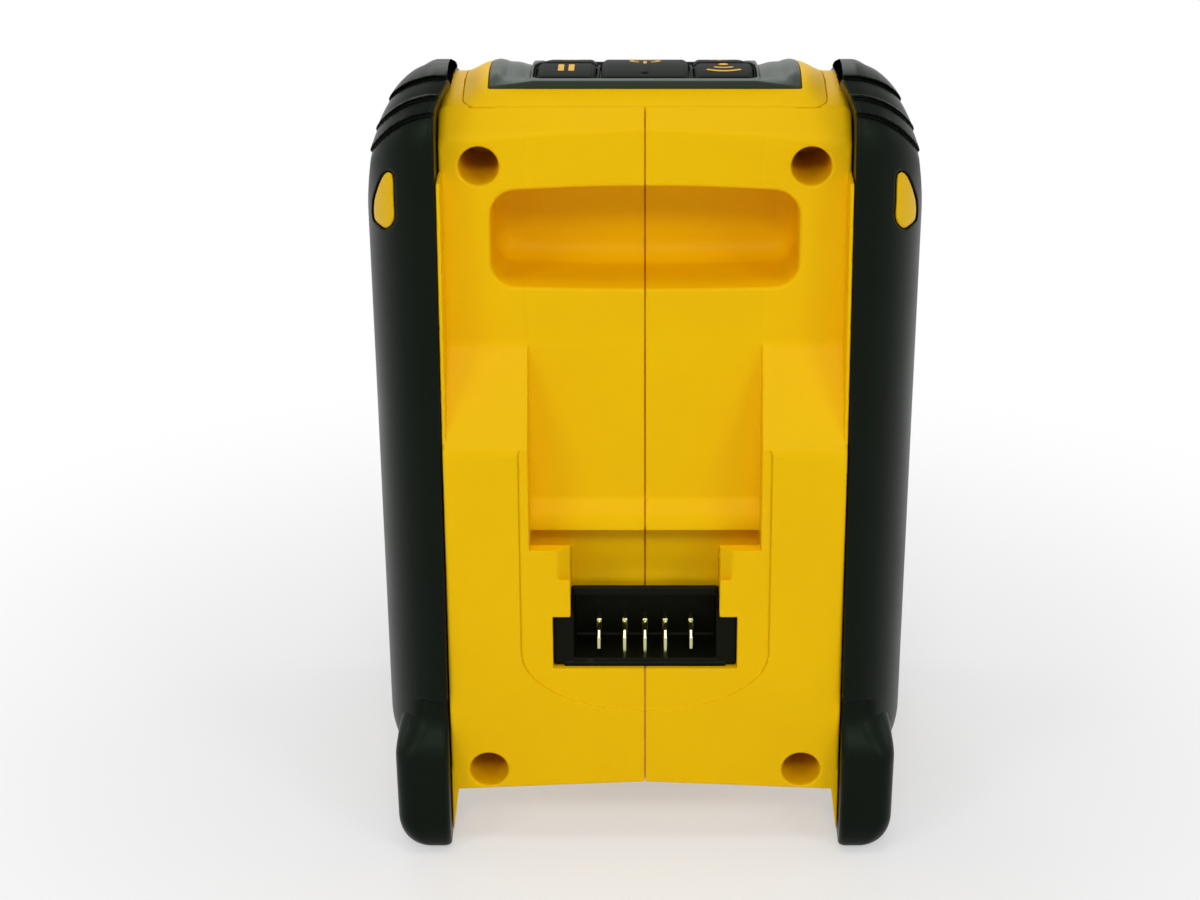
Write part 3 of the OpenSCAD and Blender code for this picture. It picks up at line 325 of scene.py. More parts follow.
def build_grain():
    """Fine moulded grain as a height, with a slow variation beside it."""
    tree, inside, out = group(
        "moulded_grain",
        [("Grain size", "NodeSocketFloat", 900.0), ("Ripple size", "NodeSocketFloat", 30.0),
         ("Ripple share", "NodeSocketFloat", 0.25)],
        [("Height", "NodeSocketFloat"), ("Variation", "NodeSocketFloat")]
    )
    place = node(tree, "ShaderNodeTexCoord")
    fine = node(tree, "ShaderNodeTexNoise", {"Detail": 3.0, "Roughness": 0.6},
                {"Vector": place.outputs["Object"], "Scale": inside.outputs["Grain size"]})
    slow = node(tree, "ShaderNodeTexNoise", {"Detail": 2.0},
                {"Vector": place.outputs["Object"], "Scale": inside.outputs["Ripple size"]})
    blend = node(tree, "ShaderNodeMix", None,
                 {"Factor": inside.outputs["Ripple share"],
                  "A": fine.outputs["Fac"], "B": slow.outputs["Fac"]})
    tree.links.new(blend.outputs["Result"], out.inputs["Height"])
    tree.links.new(slow.outputs["Fac"], out.inputs["Variation"])
    return tree


def build_wear():
    """Mask of rubbed edges, broken up by scuffs."""
    tree, inside, out = group(
        "edge_wear",
        [("Reach", "NodeSocketFloat", 0.55), ("Scuff size", "NodeSocketFloat", 160.0)],
        [("Mask", "NodeSocketFloat")]
    )
    shape = node(tree, "ShaderNodeNewGeometry")
    place = node(tree, "ShaderNodeTexCoord")
    edge = node(tree, "ShaderNodeMapRange", {"From Max": 0.62, "To Max": 1.0},
                {"Value": shape.outputs["Pointiness"], "From Min": inside.outputs["Reach"]})
    scuff = node(tree, "ShaderNodeTexNoise", {"Detail": 4.0, "Roughness": 0.7},
                 {"Vector": place.outputs["Object"], "Scale": inside.outputs["Scuff size"]})
    broken = node(tree, "ShaderNodeMapRange", {"From Min": 0.45, "From Max": 0.65},
                  {"Value": scuff.outputs["Fac"]})
    mask = node(tree, "ShaderNodeMath", operation="MULTIPLY")
    tree.links.new(edge.outputs["Result"], mask.inputs[0])
    tree.links.new(broken.outputs["Result"], mask.inputs[1])
    tree.links.new(mask.outputs["Value"], out.inputs["Mask"])
    return tree


def build_brushing():
    """Fine parallel scratches of a drawn or brushed metal."""
    tree, inside, out = group(
        "brushing",
        [("Stretch", "NodeSocketFloat", 20.0), ("Scale", "NodeSocketFloat", 600.0)],
        [("Height", "NodeSocketFloat")]
    )
    place = node(tree, "ShaderNodeTexCoord")
    parts = node(tree, "ShaderNodeSeparateXYZ", None, {"Vector": place.outputs["Object"]})
    shrunk = node(tree, "ShaderNodeMath", operation="DIVIDE")
    tree.links.new(parts.outputs["Z"], shrunk.inputs[0])
    tree.links.new(inside.outputs["Stretch"], shrunk.inputs[1])
    joined = node(tree, "ShaderNodeCombineXYZ", None,
                  {"X": parts.outputs["X"], "Y": parts.outputs["Y"],
                   "Z": shrunk.outputs["Value"]})
    streaks = node(tree, "ShaderNodeTexNoise", {"Detail": 2.0},
                   {"Vector": joined.outputs["Vector"], "Scale": inside.outputs["Scale"]})
    tree.links.new(streaks.outputs["Fac"], out.inputs["Height"])
    return tree


GRAIN, WEAR, BRUSHING = build_grain(), build_wear(), build_brushing()


GLOSS_SPREAD = 0.08


def finish(name, colour, dark, rough, worn=None, wear=0.4, grain=900.0, ripple=30.0, bump=0.06,
           metal=0.0, painted_reflection_tint=None, index=1.5, specular=0.5, brushed=False):
    """One procedural finish: two shades that wander over the surface, grain and rubbed edges."""
    material = bpy.data.materials.new(name)
    material.use_nodes = True
    tree = material.node_tree
    tree.nodes.clear()
    surface = node(tree, "ShaderNodeBsdfPrincipled",
                   {"Metallic": metal, "IOR": index, "Specular IOR Level": specular})
    # A painted reflection colour, when given, tints the specular highlights
    if painted_reflection_tint:
        surface.inputs["Specular Tint"].default_value = painted_reflection_tint
    skin = node(tree, "ShaderNodeGroup", node_tree=GRAIN)
    skin.inputs["Grain size"].default_value = grain
    skin.inputs["Ripple size"].default_value = ripple
    rubbed = node(tree, "ShaderNodeGroup", node_tree=WEAR)
    shades = node(tree, "ShaderNodeMix", {"A": dark, "B": colour},
                  {"Factor": skin.outputs["Variation"]}, data_type="RGBA")
    amount = node(tree, "ShaderNodeMath", {1: wear}, {0: rubbed.outputs["Mask"]},
                  operation="MULTIPLY")
    colours = node(tree, "ShaderNodeMix", data_type="RGBA")
    tree.links.new(amount.outputs["Value"], colours.inputs["Factor"])
    tree.links.new(shades.outputs["Result"], colours.inputs["A"])
    colours.inputs["B"].default_value = worn or colour
    tree.links.new(colours.outputs["Result"], surface.inputs["Base Color"])
    gloss = node(tree, "ShaderNodeMapRange",
                 {"To Min": rough - GLOSS_SPREAD, "To Max": rough + GLOSS_SPREAD},
                 {"Value": skin.outputs["Variation"]})
    tree.links.new(gloss.outputs["Result"], surface.inputs["Roughness"])
    height = skin.outputs["Height"]
    if brushed:
        height = node(tree, "ShaderNodeGroup", node_tree=BRUSHING).outputs["Height"]
    relief = node(tree, "ShaderNodeBump", {"Strength": bump, "Distance": 0.001}, {"Height": height})
    tree.links.new(relief.outputs["Normal"], surface.inputs["Normal"])
    out = node(tree, "ShaderNodeOutputMaterial", None, {"Surface": surface.outputs["BSDF"]})
    out.is_active_output = True
    return material


# A low index keeps the pale room out of the dark and the yellow pieces at their edges
yellow_shell = finish("yellow_shell", linear(250, 200, 0), linear(245, 193, 0), 0.45,
                      worn=linear(252, 212, 24), wear=0.3, grain=1400.0, bump=0.05,
                      specular=0.35, index=1.2)
yellow_inlay = finish("yellow_inlay", linear(240, 192, 0), linear(233, 184, 0), 0.36,
                      worn=linear(250, 210, 24), wear=0.3, grain=1400.0, bump=0.03,
                      specular=0.3, index=1.25)
# The rubber's greenish specular tint is a painted reflection colour, standing in for greenish
# surroundings in its highlights
rubber_grip = finish("rubber_grip", linear(18, 20, 17), linear(13, 15, 12), 0.33,
                     worn=linear(46, 52, 45), wear=0.3, grain=1100.0, bump=0.07,
                     index=1.18, painted_reflection_tint=linear(205, 255, 215))
key_rubber = finish("key_rubber", linear(24, 28, 24), linear(18, 22, 18), 0.55,
                    worn=linear(50, 56, 50), wear=0.2, grain=1500.0, bump=0.05,
                    specular=0.4, index=1.12)
gloss_trim = finish("gloss_trim", linear(50, 65, 52), linear(41, 54, 43), 0.34,
                    worn=linear(92, 108, 94), wear=0.2, grain=1800.0, bump=0.02, index=1.2)
key_print = finish("key_print", linear(238, 186, 16), linear(228, 176, 12), 0.5,
                   wear=0.0, grain=1800.0, bump=0.02, specular=0.2)
block_nylon = finish("block_nylon", linear(17, 18, 8), linear(12, 13, 5), 0.42,
                     worn=linear(66, 72, 52), wear=0.35, grain=1000.0, bump=0.05,
                     specular=0.4, index=1.18)
blade_nickel = finish("blade_nickel", linear(214, 216, 162), linear(196, 198, 142), 0.24,
                      worn=linear(240, 236, 204), metal=1.0, bump=0.03, brushed=True)
grille_coat = finish("grille_coat", linear(24, 25, 24), linear(18, 19, 18), 0.5,
                     worn=linear(64, 66, 64), wear=0.3, grain=1200.0, bump=0.05, specular=0.3)
inner_black = finish("inner_black", linear(34, 34, 34), linear(27, 27, 27), 0.6, bump=0.05)
# Dark screw metal: partly the screws' own black oxide finish, partly painted shade for the bottom
# of the deep screw wells
screw_oxide_and_shade = finish("screw_oxide_and_shade", linear(46, 44, 42), linear(36, 34, 33), 0.4, metal=0.8,
                    worn=linear(110, 108, 104), wear=0.5, bump=0.03)
basket_steel = finish("basket_steel", linear(96, 96, 100), linear(84, 84, 88), 0.42,
                      metal=0.6, bump=0.04)
cone_paper = finish("cone_paper", linear(50, 50, 50), linear(40, 40, 40), 0.8,
                    grain=500.0, ripple=120.0, bump=0.15)
magnet_steel = finish("magnet_steel", linear(150, 150, 154), linear(132, 132, 136), 0.35,
                      metal=1.0, bump=0.03, brushed=True)
roll_rubber = finish("roll_rubber", linear(44, 44, 44), linear(36, 36, 36), 0.6)
board_mask = finish("board_mask", linear(28, 92, 58), linear(22, 80, 50), 0.3,
                    grain=1200.0, bump=0.03)
chip_black = finish("chip_black", linear(84, 84, 88), linear(70, 70, 74), 0.45, bump=0.04)
can_tin = finish("can_tin", linear(206, 206, 202), linear(190, 190, 186), 0.3,
                 metal=1.0, bump=0.03)

# Finish of each material slot, for the inner solids that are shown as they are
CARRIED = {
    "housing": yellow_shell, "soft_grip": rubber_grip, "trim": gloss_trim, "keypad": key_rubber,
    "grille": grille_coat, "inner": inner_black, "contacts": blade_nickel, "terminal": block_nylon,
    "basket": basket_steel, "cone": cone_paper, "magnet": magnet_steel, "foam": roll_rubber,
    "board": board_mask, "parts": chip_black, "shield": can_tin, "screws": screw_oxide_and_shade
}
for row in frame["record"]["subparts"]:
    solid = frame["nodes"][row["node"]]
    if not solid.material_slots:
        solid.data.materials.append(CARRIED[row["material_slot"]])
    for place in solid.material_slots:
        place.material = CARRIED[row["material_slot"]]


# Crown of the housing

FRONT_REACH, FRONT_BEND = 32.0, 12.8
BROW_DROP, BROW = 2.4, (6, 34)
REAR_REACH, REAR_DROP, REAR_SHARE = 19.0, 6.2, 0.82
SEAM_SLOPE = 0.72
CREASE_Z, CREASE_FALL, CREASE_CURL_X, CREASE_CURL = 252.6, 0.055, 38.0, 0.0012
TRIM_X, SAG_END_X, SAG = 50.5, 60.0, 3.4
BOTTOM_BOW = 3.0
FLANK_EDGE, FLANK_ROLL, FLANK_ROLL_SPAN = 0.6, 2.6, (236, 250)


def crown(y):
    """Height of the top over the middle, from the rear seam over its crest to the front."""
    ahead = np.maximum(CREST_Y - y, 0) / FRONT_REACH
    back = np.maximum(y - CREST_Y, 0) / REAR_REACH
    drop = FRONT_BEND * (np.sqrt(1 + ahead * ahead) - 1) + BROW_DROP * smooth(-y, *BROW)
    share = REAR_SHARE + (1 - REAR_SHARE) * np.minimum(back, 1)
    return TOP_Z - drop - REAR_DROP * back * back * share


def crease_z(ax):
    """Height of the crease between the rear wall and the shoulder that rises to the seam."""
    return CREASE_Z - CREASE_FALL * ax - CREASE_CURL * np.maximum(ax - CREASE_CURL_X, 0) ** 2


def top_height(ax, y):
    """Height of the yellow top, with its sag beside the control panel."""
    lift = np.clip((y - CREST_Y) / (SEAM_Y - CREST_Y), 0, 1)
    sag = SAG * smooth(ax, TRIM_X, SAG_END_X) * (1 - lift * lift)
    inner = np.minimum(y, SEAM_Y)
    beyond = np.maximum(y - SEAM_Y, 0) * (SEAM_Z - crease_z(ax)) / (FLOOR_Y - SEAM_Y)
    return crown(inner) - sag - beyond


def over_top(ax, y, z):
    """Distance over the top, made true by its slope."""
    ahead = np.maximum(CREST_Y - y, 0) / FRONT_REACH
    behind = SEAM_SLOPE * np.clip((y - CREST_Y) / REAR_REACH, 0, 1)
    before = FRONT_BEND / FRONT_REACH * ahead / np.sqrt(1 + ahead * ahead)
    slope = np.where(y > CREST_Y, behind, before)
    return (z - top_height(ax, y)) / np.sqrt(1 + slope * slope)


def under_bottom(ax, z):
    """Distance under the bottom, which is bowed up in the middle."""
    return LEG_Z + BOTTOM_BOW * (1 - ax / PANEL_X) - z


def rounded_flank(ax, y, z):
    """Side of the housing, whose edge rolls off more where it meets the crown."""
    over = over_top(ax, y, z)
    return both(over, ax - PANEL_X, FLANK_EDGE + FLANK_ROLL * smooth(z, *FLANK_ROLL_SPAN))


# Rear shell

CHEEK_FOOT_Y, CHEEK_LEAN = 66.0, 0.05
RAMP_Z, RAMP_OUT, RAMP_UP = 147.5, 0.8716, 0.4903

BAY_X, SLOT_X, MOUTH_X = 38.5, 31.0, 25.0
LEDGE_Y, LEDGE_Z, LEDGE_TOP_Z, LEDGE_OUT, LEDGE_UP = 54.0, 113.3, 124.0, 0.8587, 0.5126
LATCH_TOP_Z, MOUTH_Z, SLOT_TOP_Z, NOTCH_Z = 113.6, 84.8, 106.0, 103.0
RAIL_Y = 62.0
SEAT_Y, SEAT_LOW_Z, SEAT_HIGH_Z = 42.0, 68.3, 87.6
LEAD_X, LEAD_Y, LEAD_Z, LEAD_RISE = 25.3, 63.2, 99.3, 0.6

POCKET_X, POCKET_LOW_Z, POCKET_HIGH_Z, POCKET_ARCH_X = 50.0, 199.1, 231.6, 46.0
POCKET_CORNER, POCKET_ROOT, TOP_BOW, FLOOR_BOW = 8.0, 7.0, 1.6, 0.8
WELL_R, WELL_MID_Z = 6.5, 134.0
PAD_X, PAD_Y, PAD_TOP_Z, PAD_BEND_Z, PAD_BOW = 41.6, 67.2, 148.2, 74.3, 22.0

LEG_X, LEG_EDGE_X, LEG_EDGE_Z, LEG_OUT, LEG_DOWN = 66.4, 64.0, 22.0, 0.992, 0.1254
LEG_FRONT_Y, LEG_SOLE_Z, LEG_HEAD_Z = 45.5, 4.8, 30.0

LIP_X, LIP_Y, LIP_LOW_Z, LIP_HIGH_Z, LIP_GAP = 65.2, 49.0, 140.0, 238.0, 0.95
CAP_STEP, CAP_CORNER = 3.8, 4.0
SEAM_GAP, SEAM_BEVEL, SEAM_DEPTH = 0.02, 0.3, 1.3


def rear_profile(y, z):
    """Rear wall with the raised cheeks, which run out in ramps."""
    cheek = np.maximum(y - CHEEK_Y, y - CHEEK_FOOT_Y - (z - LEG_Z) * CHEEK_LEAN)
    ramp = (y - CHEEK_Y) * RAMP_OUT + (z - RAMP_Z) * RAMP_UP
    return either(both(cheek, ramp, 0.8), y - FLOOR_Y, 0.8)


def bay_cut(ax, y, z):
    """Battery bay with its ledge, latch recess, rails and the seat of the terminal block."""
    slope = (y - FLOOR_Y) * LEDGE_OUT + (z - LEDGE_TOP_Z) * LEDGE_UP
    ledge = both(LEDGE_Z - z, both(y - LEDGE_Y, slope, 1.6), 0.5)
    bay = both(ax - BAY_X, both(FLOOR_Y - y, RAIL_TOP - z), 0.6)
    bay = without(bay, ledge, 0.4)
    latch = both(both(ax - BAY_X, LATCH_Y - y, 0.8), slab(z, RAIL_TOP, LATCH_TOP_Z), 0.3)
    mouth = both(both(ax - MOUTH_X, LATCH_Y - y, 0.5), slab(z, MOUTH_Z, LEDGE_Z), 0.3)
    slot = both(both(ax - SLOT_X, slab(y, FLOOR_Y, RAIL_Y), 0.4), slab(z, MOUTH_Z, SLOT_TOP_Z), 0.3)
    notch = both(both(ax - BAY_X, slab(y, LATCH_Y, RAIL_Y), 0.6), slab(z, NOTCH_Z, LEDGE_Z), 0.4)
    seat = both(both(ax - SLOT_X, SEAT_Y - y), slab(z, SEAT_LOW_Z, SEAT_HIGH_Z))
    lead_side = (ax - LEAD_X - (y - LEAD_Y)) * DIAGONAL
    lead_sole = (LEAD_Z - z + LEAD_RISE * (y - LEAD_Y)) * 0.85
    lead = both(both(lead_side, lead_sole, 0.3), both(RAIL_Y - y, z - LATCH_TOP_Z))
    cut = np.minimum(np.minimum(bay, latch), np.minimum(mouth, slot))
    return np.minimum(np.minimum(cut, notch), np.minimum(seat, lead))


def pocket_cut(ax, y, z):
    """Finger pocket, whose upper and lower edges are bowed."""
    arch = 1 - (ax / POCKET_ARCH_X) ** 2
    tall = np.maximum(z - POCKET_HIGH_Z - TOP_BOW * arch, POCKET_LOW_Z - FLOOR_BOW * arch - z)
    return both(both(ax - POCKET_X, tall, POCKET_CORNER), POCKET_Y - y, POCKET_ROOT)


def well_run(ax, z):
    """Distance from the axis of the nearest screw well."""
    lower, upper = [np.hypot(ax - well_x, z - well_z) for well_x, well_z in WELLS]
    return np.where(z > WELL_MID_Z, upper, lower)


def well_cut(ax, y, z):
    return both(well_run(ax, z) - WELL_R, WELL_Y - y, 0.6)


def pad_recess(ax, y, z):
    """Shallow step round the battery pack's footprint."""
    bow = (np.hypot(ax / PAD_X, np.minimum(z - PAD_BEND_Z, 0) / PAD_BOW) - 1) * PAD_BOW
    bow = np.where(z > PAD_BEND_Z, ax - PAD_X, bow)
    return both(both(bow, z - PAD_TOP_Z, 0.6), PAD_Y - y)


def leg_post(ax, y, z):
    """Yellow leg, of which a thin wedge shows beside the rubber foot."""
    edge = -LEG_OUT * (ax - LEG_EDGE_X) - LEG_DOWN * (z - LEG_EDGE_Z)
    back = CHEEK_FOOT_Y + np.clip(z - LEG_Z, 0, 20) * CHEEK_LEAN
    run = both(slab(np.abs(y), LEG_FRONT_Y, back), slab(z, LEG_SOLE_Z, LEG_HEAD_Z), 2.0)
    return both(both(edge, ax - LEG_X, 0.3), run, 0.4)


def grip_lip(ax, y, z):
    """Thin rim of the flank that closes the gap along the bumper, and stays under its surface."""
    straight = y - GRIP_BACK_Y + 1.0 + (z - GRIP_LEAN_Z) * GRIP_LEAN
    shoulder = np.hypot(y - SHOULDER_Y, z - SHOULDER_Z) - SHOULDER_R + LIP_GAP
    under = np.where(z < SHOULDER_Z, straight, shoulder)
    lip = both(both(slab(ax, LIP_X, PANEL_X), under, 0.35), slab(z, LIP_LOW_Z, LIP_HIGH_Z), 0.25)
    return both(lip, LIP_Y - y)


def cap_region(ax, y, grow):
    return both(ax - CAP_X - grow, slab(y, SPLIT_Y - 5, SEAM_Y + grow), CAP_CORNER)


def rear_shell(x, y, z):
    ax = np.abs(x)
    body = both(rear_profile(y, z), rounded_flank(ax, y, z), 1.3)
    body = both(both(body, under_bottom(ax, z), 0.8), ax - PANEL_X, 0.5)
    well, pocket, bay = well_cut(ax, y, z), pocket_cut(ax, y, z), bay_cut(ax, y, z)
    skin = without(without(body, well, 1.0), pocket, 1.5)
    skin = without(without(skin, pad_recess(ax, y, z), 0.25), bay, 0.45)
    room = both(body + WALL, WALL - np.minimum(np.minimum(well, pocket), bay), 1.0)
    shell = either(without(skin, room), grip_lip(ax, y, z))
    under_cap = both(cap_region(ax, y, 0.06), -over_top(ax, y, z) - CAP_STEP)
    shell = either(without(shell, under_cap, 0.2), leg_post(ax, y, z), 0.3)
    seam = SEAM_GAP + SEAM_BEVEL * np.clip(1 + skin / SEAM_DEPTH, 0, 1)
    return both(both(shell, seam - x), SPLIT_Y - y, 0.2)


moulded(rear_shell, (0.0, -45.0, 4.5), (66.8, 68.2, 262.5), 0.55, [
    ("left_rear_shell", "", "speaker", "housing", yellow_shell, ["rear_shell_left"]),
    ("right_rear_shell", "x", "speaker", "housing", yellow_shell, ["rear_shell_right"])
], keep=0.2)


# Housing screws

HEAD_R, HEAD_RISE, DOME_R, SHANK_R = 3.4, 2.4, 7.0, 1.5
SLIT_HALF, SLIT_REACH, SLIT_DEPTH = 0.45, 1.9, 1.4
SCREW_ROOM, SCREW_TIP_Y = 3.6, -4.0


def housing_screw(x, y, z):
    """Pan head with a cross recess, at the bottom of its well."""
    ax = np.abs(x)
    (well_x, low_z), (_, high_z) = WELLS
    run = np.minimum(np.hypot(ax - well_x, z - low_z), np.hypot(ax - well_x, z - high_z))
    up = np.abs(np.where(z > WELL_MID_Z, z - high_z, z - low_z))
    side = np.abs(ax - well_x)
    dome = np.hypot(run, y - WELL_Y + DOME_R - HEAD_RISE) - DOME_R
    head = both(both(run - HEAD_R, dome, 0.3), WELL_Y + 0.05 - y)
    arms = np.minimum(
        both(side - SLIT_HALF, up - SLIT_REACH), both(up - SLIT_HALF, side - SLIT_REACH)
    )
    recess = both(arms, WELL_Y + HEAD_RISE - SLIT_DEPTH - y + run * 0.4, 0.15)
    shank = both(run - SHANK_R, slab(y, SCREW_TIP_Y, WELL_Y + 0.5))
    return np.minimum(without(head, recess), shank)


for number, (mirror, well) in enumerate([("", 0), ("", 1), ("x", 0), ("x", 1)]):
    level, side = ("lower", "upper")[well], "right" if mirror else "left"
    well_x, well_z = WELLS[well]
    low = (well_x - SCREW_ROOM, -4.2, well_z - SCREW_ROOM)
    high = (well_x + SCREW_ROOM, WELL_Y + 2.8, well_z + SCREW_ROOM)
    replaced = ["housing_screws"] if number == 0 else []
    moulded(housing_screw, low, high, 0.3, [
        (f"{level}_{side}_screw", mirror, "speaker", "screws", screw_oxide_and_shade, replaced)
    ])


# Front frame

FACE_LEAN, FACE_LEAN_Y, FACE_ROLL = 0.1, 4.0, 24.0
OPENING_X, OPENING_MID_Z, OPENING_HALF, OPENING_CORNER = 56.0, 123.0, 87.0, 14.0
GRILLE_STEP, BEVEL_DEPTH = 2.5, 1.6


def front_frame(x, y, z):
    """Frame of the grille side, which rolls over to the crown and holds the bevelled opening."""
    ax = np.abs(x)
    face = np.maximum(FACE_Y - y, FACE_Y + FACE_LEAN_Y - (z - LEG_Z) * FACE_LEAN - y)
    body = both(face, rounded_flank(ax, y, z), FACE_ROLL)
    body = both(both(body, under_bottom(ax, z), 2.5), ax - PANEL_X, 0.8)
    opening = both(ax - OPENING_X, np.abs(z - OPENING_MID_Z) - OPENING_HALF, OPENING_CORNER)
    skin = without(body, opening + GRILLE_STEP, 0.6)
    bevel = both(opening - 0.15 + (y - FACE_Y) * 0.3, y - FACE_Y - BEVEL_DEPTH)
    skin = without(skin, bevel, 1.4)
    shell = either(without(skin, body + WALL), leg_post(ax, y, z), 0.3)
    return both(shell, y - SPLIT_Y + 0.25, 0.4)


moulded(front_frame, (-66.8, -69.2, 4.5), (66.8, -45.0, 248.5), 0.7, [
    ("grille_frame", "", "speaker", "housing", yellow_shell, ["front_frame"])
], keep=0.3)


# Top cap and control panel

CAP_WALL, CAP_GAP = 3.2, 0.04
TRIM_REAR, TRIM_FRONT, TRIM_CORNER = 36.0, -26.0, 14.0
LAND_X, LAND_RUN = 36.0, 14.5
SCOOP_END = (-34, -27)
PROFILE_X = [0, 36.8, 37.6, 39, 41, 42.5, 44.8, 46.6, 48.2, 50.5]
PROFILE_Z = [0, -0.1, -1.6, -1.35, -0.7, -0.45, -0.35, 0.3, 0.6, 0.2]
TRIM_THICK, TRAY_DEPTH, TRAY_CORNER = 4.6, 3.4, 2.0
POWER_X, POWER_FRONT, KEY_REAR = 14.4, -11.5, 31.5
KEY_GAP, KEY_RISE, KEY_DEPTH = 1.6, 0.3, 2.4
SIDE_W, SIDE_TAPER, TAPER_Y, PAUSE_LONG = 19.4, 0.14, 13.0, 20.5


def trim_plan(ax, y, grow):
    """Outline of the control panel from above, with its two cut corners in front."""
    corner = (ax + TRIM_FRONT - y - TRIM_X + TRIM_CORNER) * DIAGONAL - grow
    plan = both(ax - TRIM_X - grow, slab(y, TRIM_FRONT - grow, TRIM_REAR + grow), 0.5)
    return both(plan, corner, 3.0)


def top_cap(x, y, z):
    ax = np.abs(x)
    over = over_top(ax, y, z)
    run = slab(y, SPLIT_Y + 0.15, SEAM_Y - CAP_GAP)
    plan = both(ax - CAP_X + CAP_GAP, run, CAP_CORNER)
    shell = both(plan, both(over, -over - CAP_WALL), 0.2)
    return without(shell, trim_plan(ax, y, 0.12), 0.3)


moulded(top_cap, (-59, -45, 236), (59, 43.2, 265), 0.5, [
    ("crown_cap", "", "speaker", "housing", yellow_shell, ["top_cap"])
], keep=0.35)


def trim_height(ax, y):
    """Height of the control panel: level land at the rear, scooped ends, flush edges."""
    scoop = np.interp(ax, PROFILE_X, PROFILE_Z) * smooth(-y, *SCOOP_END)
    land = (TOP_Z - crown(y)) * (y > CREST_Y) * (1 - np.clip((ax - LAND_X) / LAND_RUN, 0, 1))
    return crown(y) + scoop + land + 0.1


def key_edge(x, y):
    """Outer edge of the side keys: straight behind, narrowing towards the front."""
    reach = POWER_X + KEY_GAP + SIDE_W
    return (x - (reach - np.maximum(TAPER_Y - y, 0) * SIDE_TAPER)) * 0.99


def tray_plan(ax, y, grow):
    """Outline of the tray that all five keys stand in."""
    run = slab(y, POWER_FRONT - grow, KEY_REAR + grow)
    return both(key_edge(ax, y) - grow, run, TRAY_CORNER + grow)


def control_panel(x, y, z):
    ax = np.abs(x)
    top = (z - trim_height(ax, y)) * 0.93
    body = both(both(trim_plan(ax, y, -0.05), top, 0.45), crown(y) - TRIM_THICK - z)
    return without(body, both(tray_plan(ax, y, 0.9), crown(y) - TRAY_DEPTH - z, 0.6), 0.5)


moulded(control_panel, (-51, -27, 246), (51, 36.5, 265.5), 0.4, [
    ("key_panel", "", "speaker", "trim", gloss_trim, ["control_panel"])
], keep=0.4)


# Rubber keys, short enough to clear the tray's floor when they are pressed

KEY_CORNER, POWER_CORNER, KEY_SHOULDER = 2.4, 2.6, 2.3
PILOT_Y, PILOT_RISE, PILOT_R = 27.0, 1.5, 1.9


def key_field(plan):
    def field(x, y, z):
        top = (z - crown(y) - KEY_RISE) * 0.95
        body = both(plan(x, y), top, KEY_SHOULDER)
        return both(body, crown(y) - KEY_DEPTH - z, 0.3)
    return field


def power_plan(x, y):
    return both(np.abs(x) - POWER_X, slab(y, POWER_FRONT, KEY_REAR), POWER_CORNER)


def side_plan(rear, front):
    def plan(x, y):
        across = both(key_edge(x, y), POWER_X + KEY_GAP - x, KEY_CORNER)
        return both(across, slab(y, front, rear), KEY_CORNER)
    return plan


rear_key = side_plan(KEY_REAR, KEY_REAR - PAUSE_LONG)
front_key = side_plan(KEY_REAR - PAUSE_LONG - KEY_GAP, POWER_FRONT)
power_top = key_field(power_plan)


def power_key(x, y, z):
    """Middle key with the dimple of its pilot light."""
    run = np.hypot(x, y - PILOT_Y)
    dimple = np.hypot(run, z - TOP_Z - PILOT_RISE) - PILOT_R
    return without(power_top(x, y, z), dimple, 0.3)


moulded(power_key, (-15, -12, 250), (15, 32, 265), 0.4, [
    ("power_button", "", "power_key_body", "keypad", key_rubber, ["power_key"])
])
moulded(key_field(rear_key), (15, 10, 254), (37, 32, 265), 0.4, [
    ("pause_button", "", "pause_key_body", "keypad", key_rubber, ["pause_key"]),
    ("pair_button", "x", "pair_key_body", "keypad", key_rubber, ["pair_key"])
])
moulded(key_field(front_key), (15, -12, 250), (37, 10.5, 264), 0.4, [
    ("volume_down_button", "", "volume_down_key_body", "keypad", key_rubber, ["volume_down_key"]),
    ("volume_up_button", "x", "volume_up_key_body", "keypad", key_rubber, ["volume_up_key"])
])


def key_mat(x, y, z):
    """Rubber web that closes the gaps round the keys."""
    ax = np.abs(x)
    keys = np.minimum(power_plan(x, y), np.minimum(rear_key(ax, y), front_key(ax, y)))
    web = both(tray_plan(ax, y, 0.75), 0.3 - keys)
    return both(web, slab(z - crown(y), 0.1 - TRAY_DEPTH, -1.5), 0.2)


moulded(key_mat, (-37, -13, 250), (37, 33, 264), 0.4, [
    ("key_web", "", "speaker", "keypad", key_rubber, [])
])


# Rubber bumpers

VIEW_Y, VIEW_Z, VIEW_BACK, VIEW_UP = 60.0, 145.6, 0.3907, 0.9205
BUMPER_X, BUMPER_W, GRIP_INNER_X = 67.0, 24.32, 66.75
ROLL_OFF, TOP_SHARE, SOLE_SHARE = 36.0, 1.75, 0.42
GRIP_TAPER, TAPER_Z = 0.016, 215.0
TOE_IN, TOE_Z, TOE_RUN = 1.8, 44.0, 14.0
GRIP_TOP_Y, GRIP_TOP_Z, GRIP_RISE = 17.56, 266.8, 0.3125
GRIP_FRONT_Y, GRIP_SOLE_Z, BROW_R, SOLE_R = 72.0, 29.0, 36.0, 18.0
FOOT_NOTCH_Y, FOOT_NOTCH_Z = 67.5, 57.4
RIDGES, RIDGE_LENGTH, RIDGE_PROUD, LAST_PROUD = (118.3, 111.4, 106.1), 6.6, 1.6, 1.9
RIDGE_RISE, RIDGE_END, RIDGE_FALL, RIDGE_SAG = (-0.03, 0.07), (0.88, 0.98), 0.8, 0.02
RIDGE_Y, RIDGE_X, RIDGE_FADE = (4, 20), (78, 88), 0.45
CREASE_CUT, CREASE_BEHIND, CREASE_WIDE = 0.4, 0.45, 0.4
LEAN_SEEN, LEAN_CREST = (104, 124.5), (-1, 1.5)
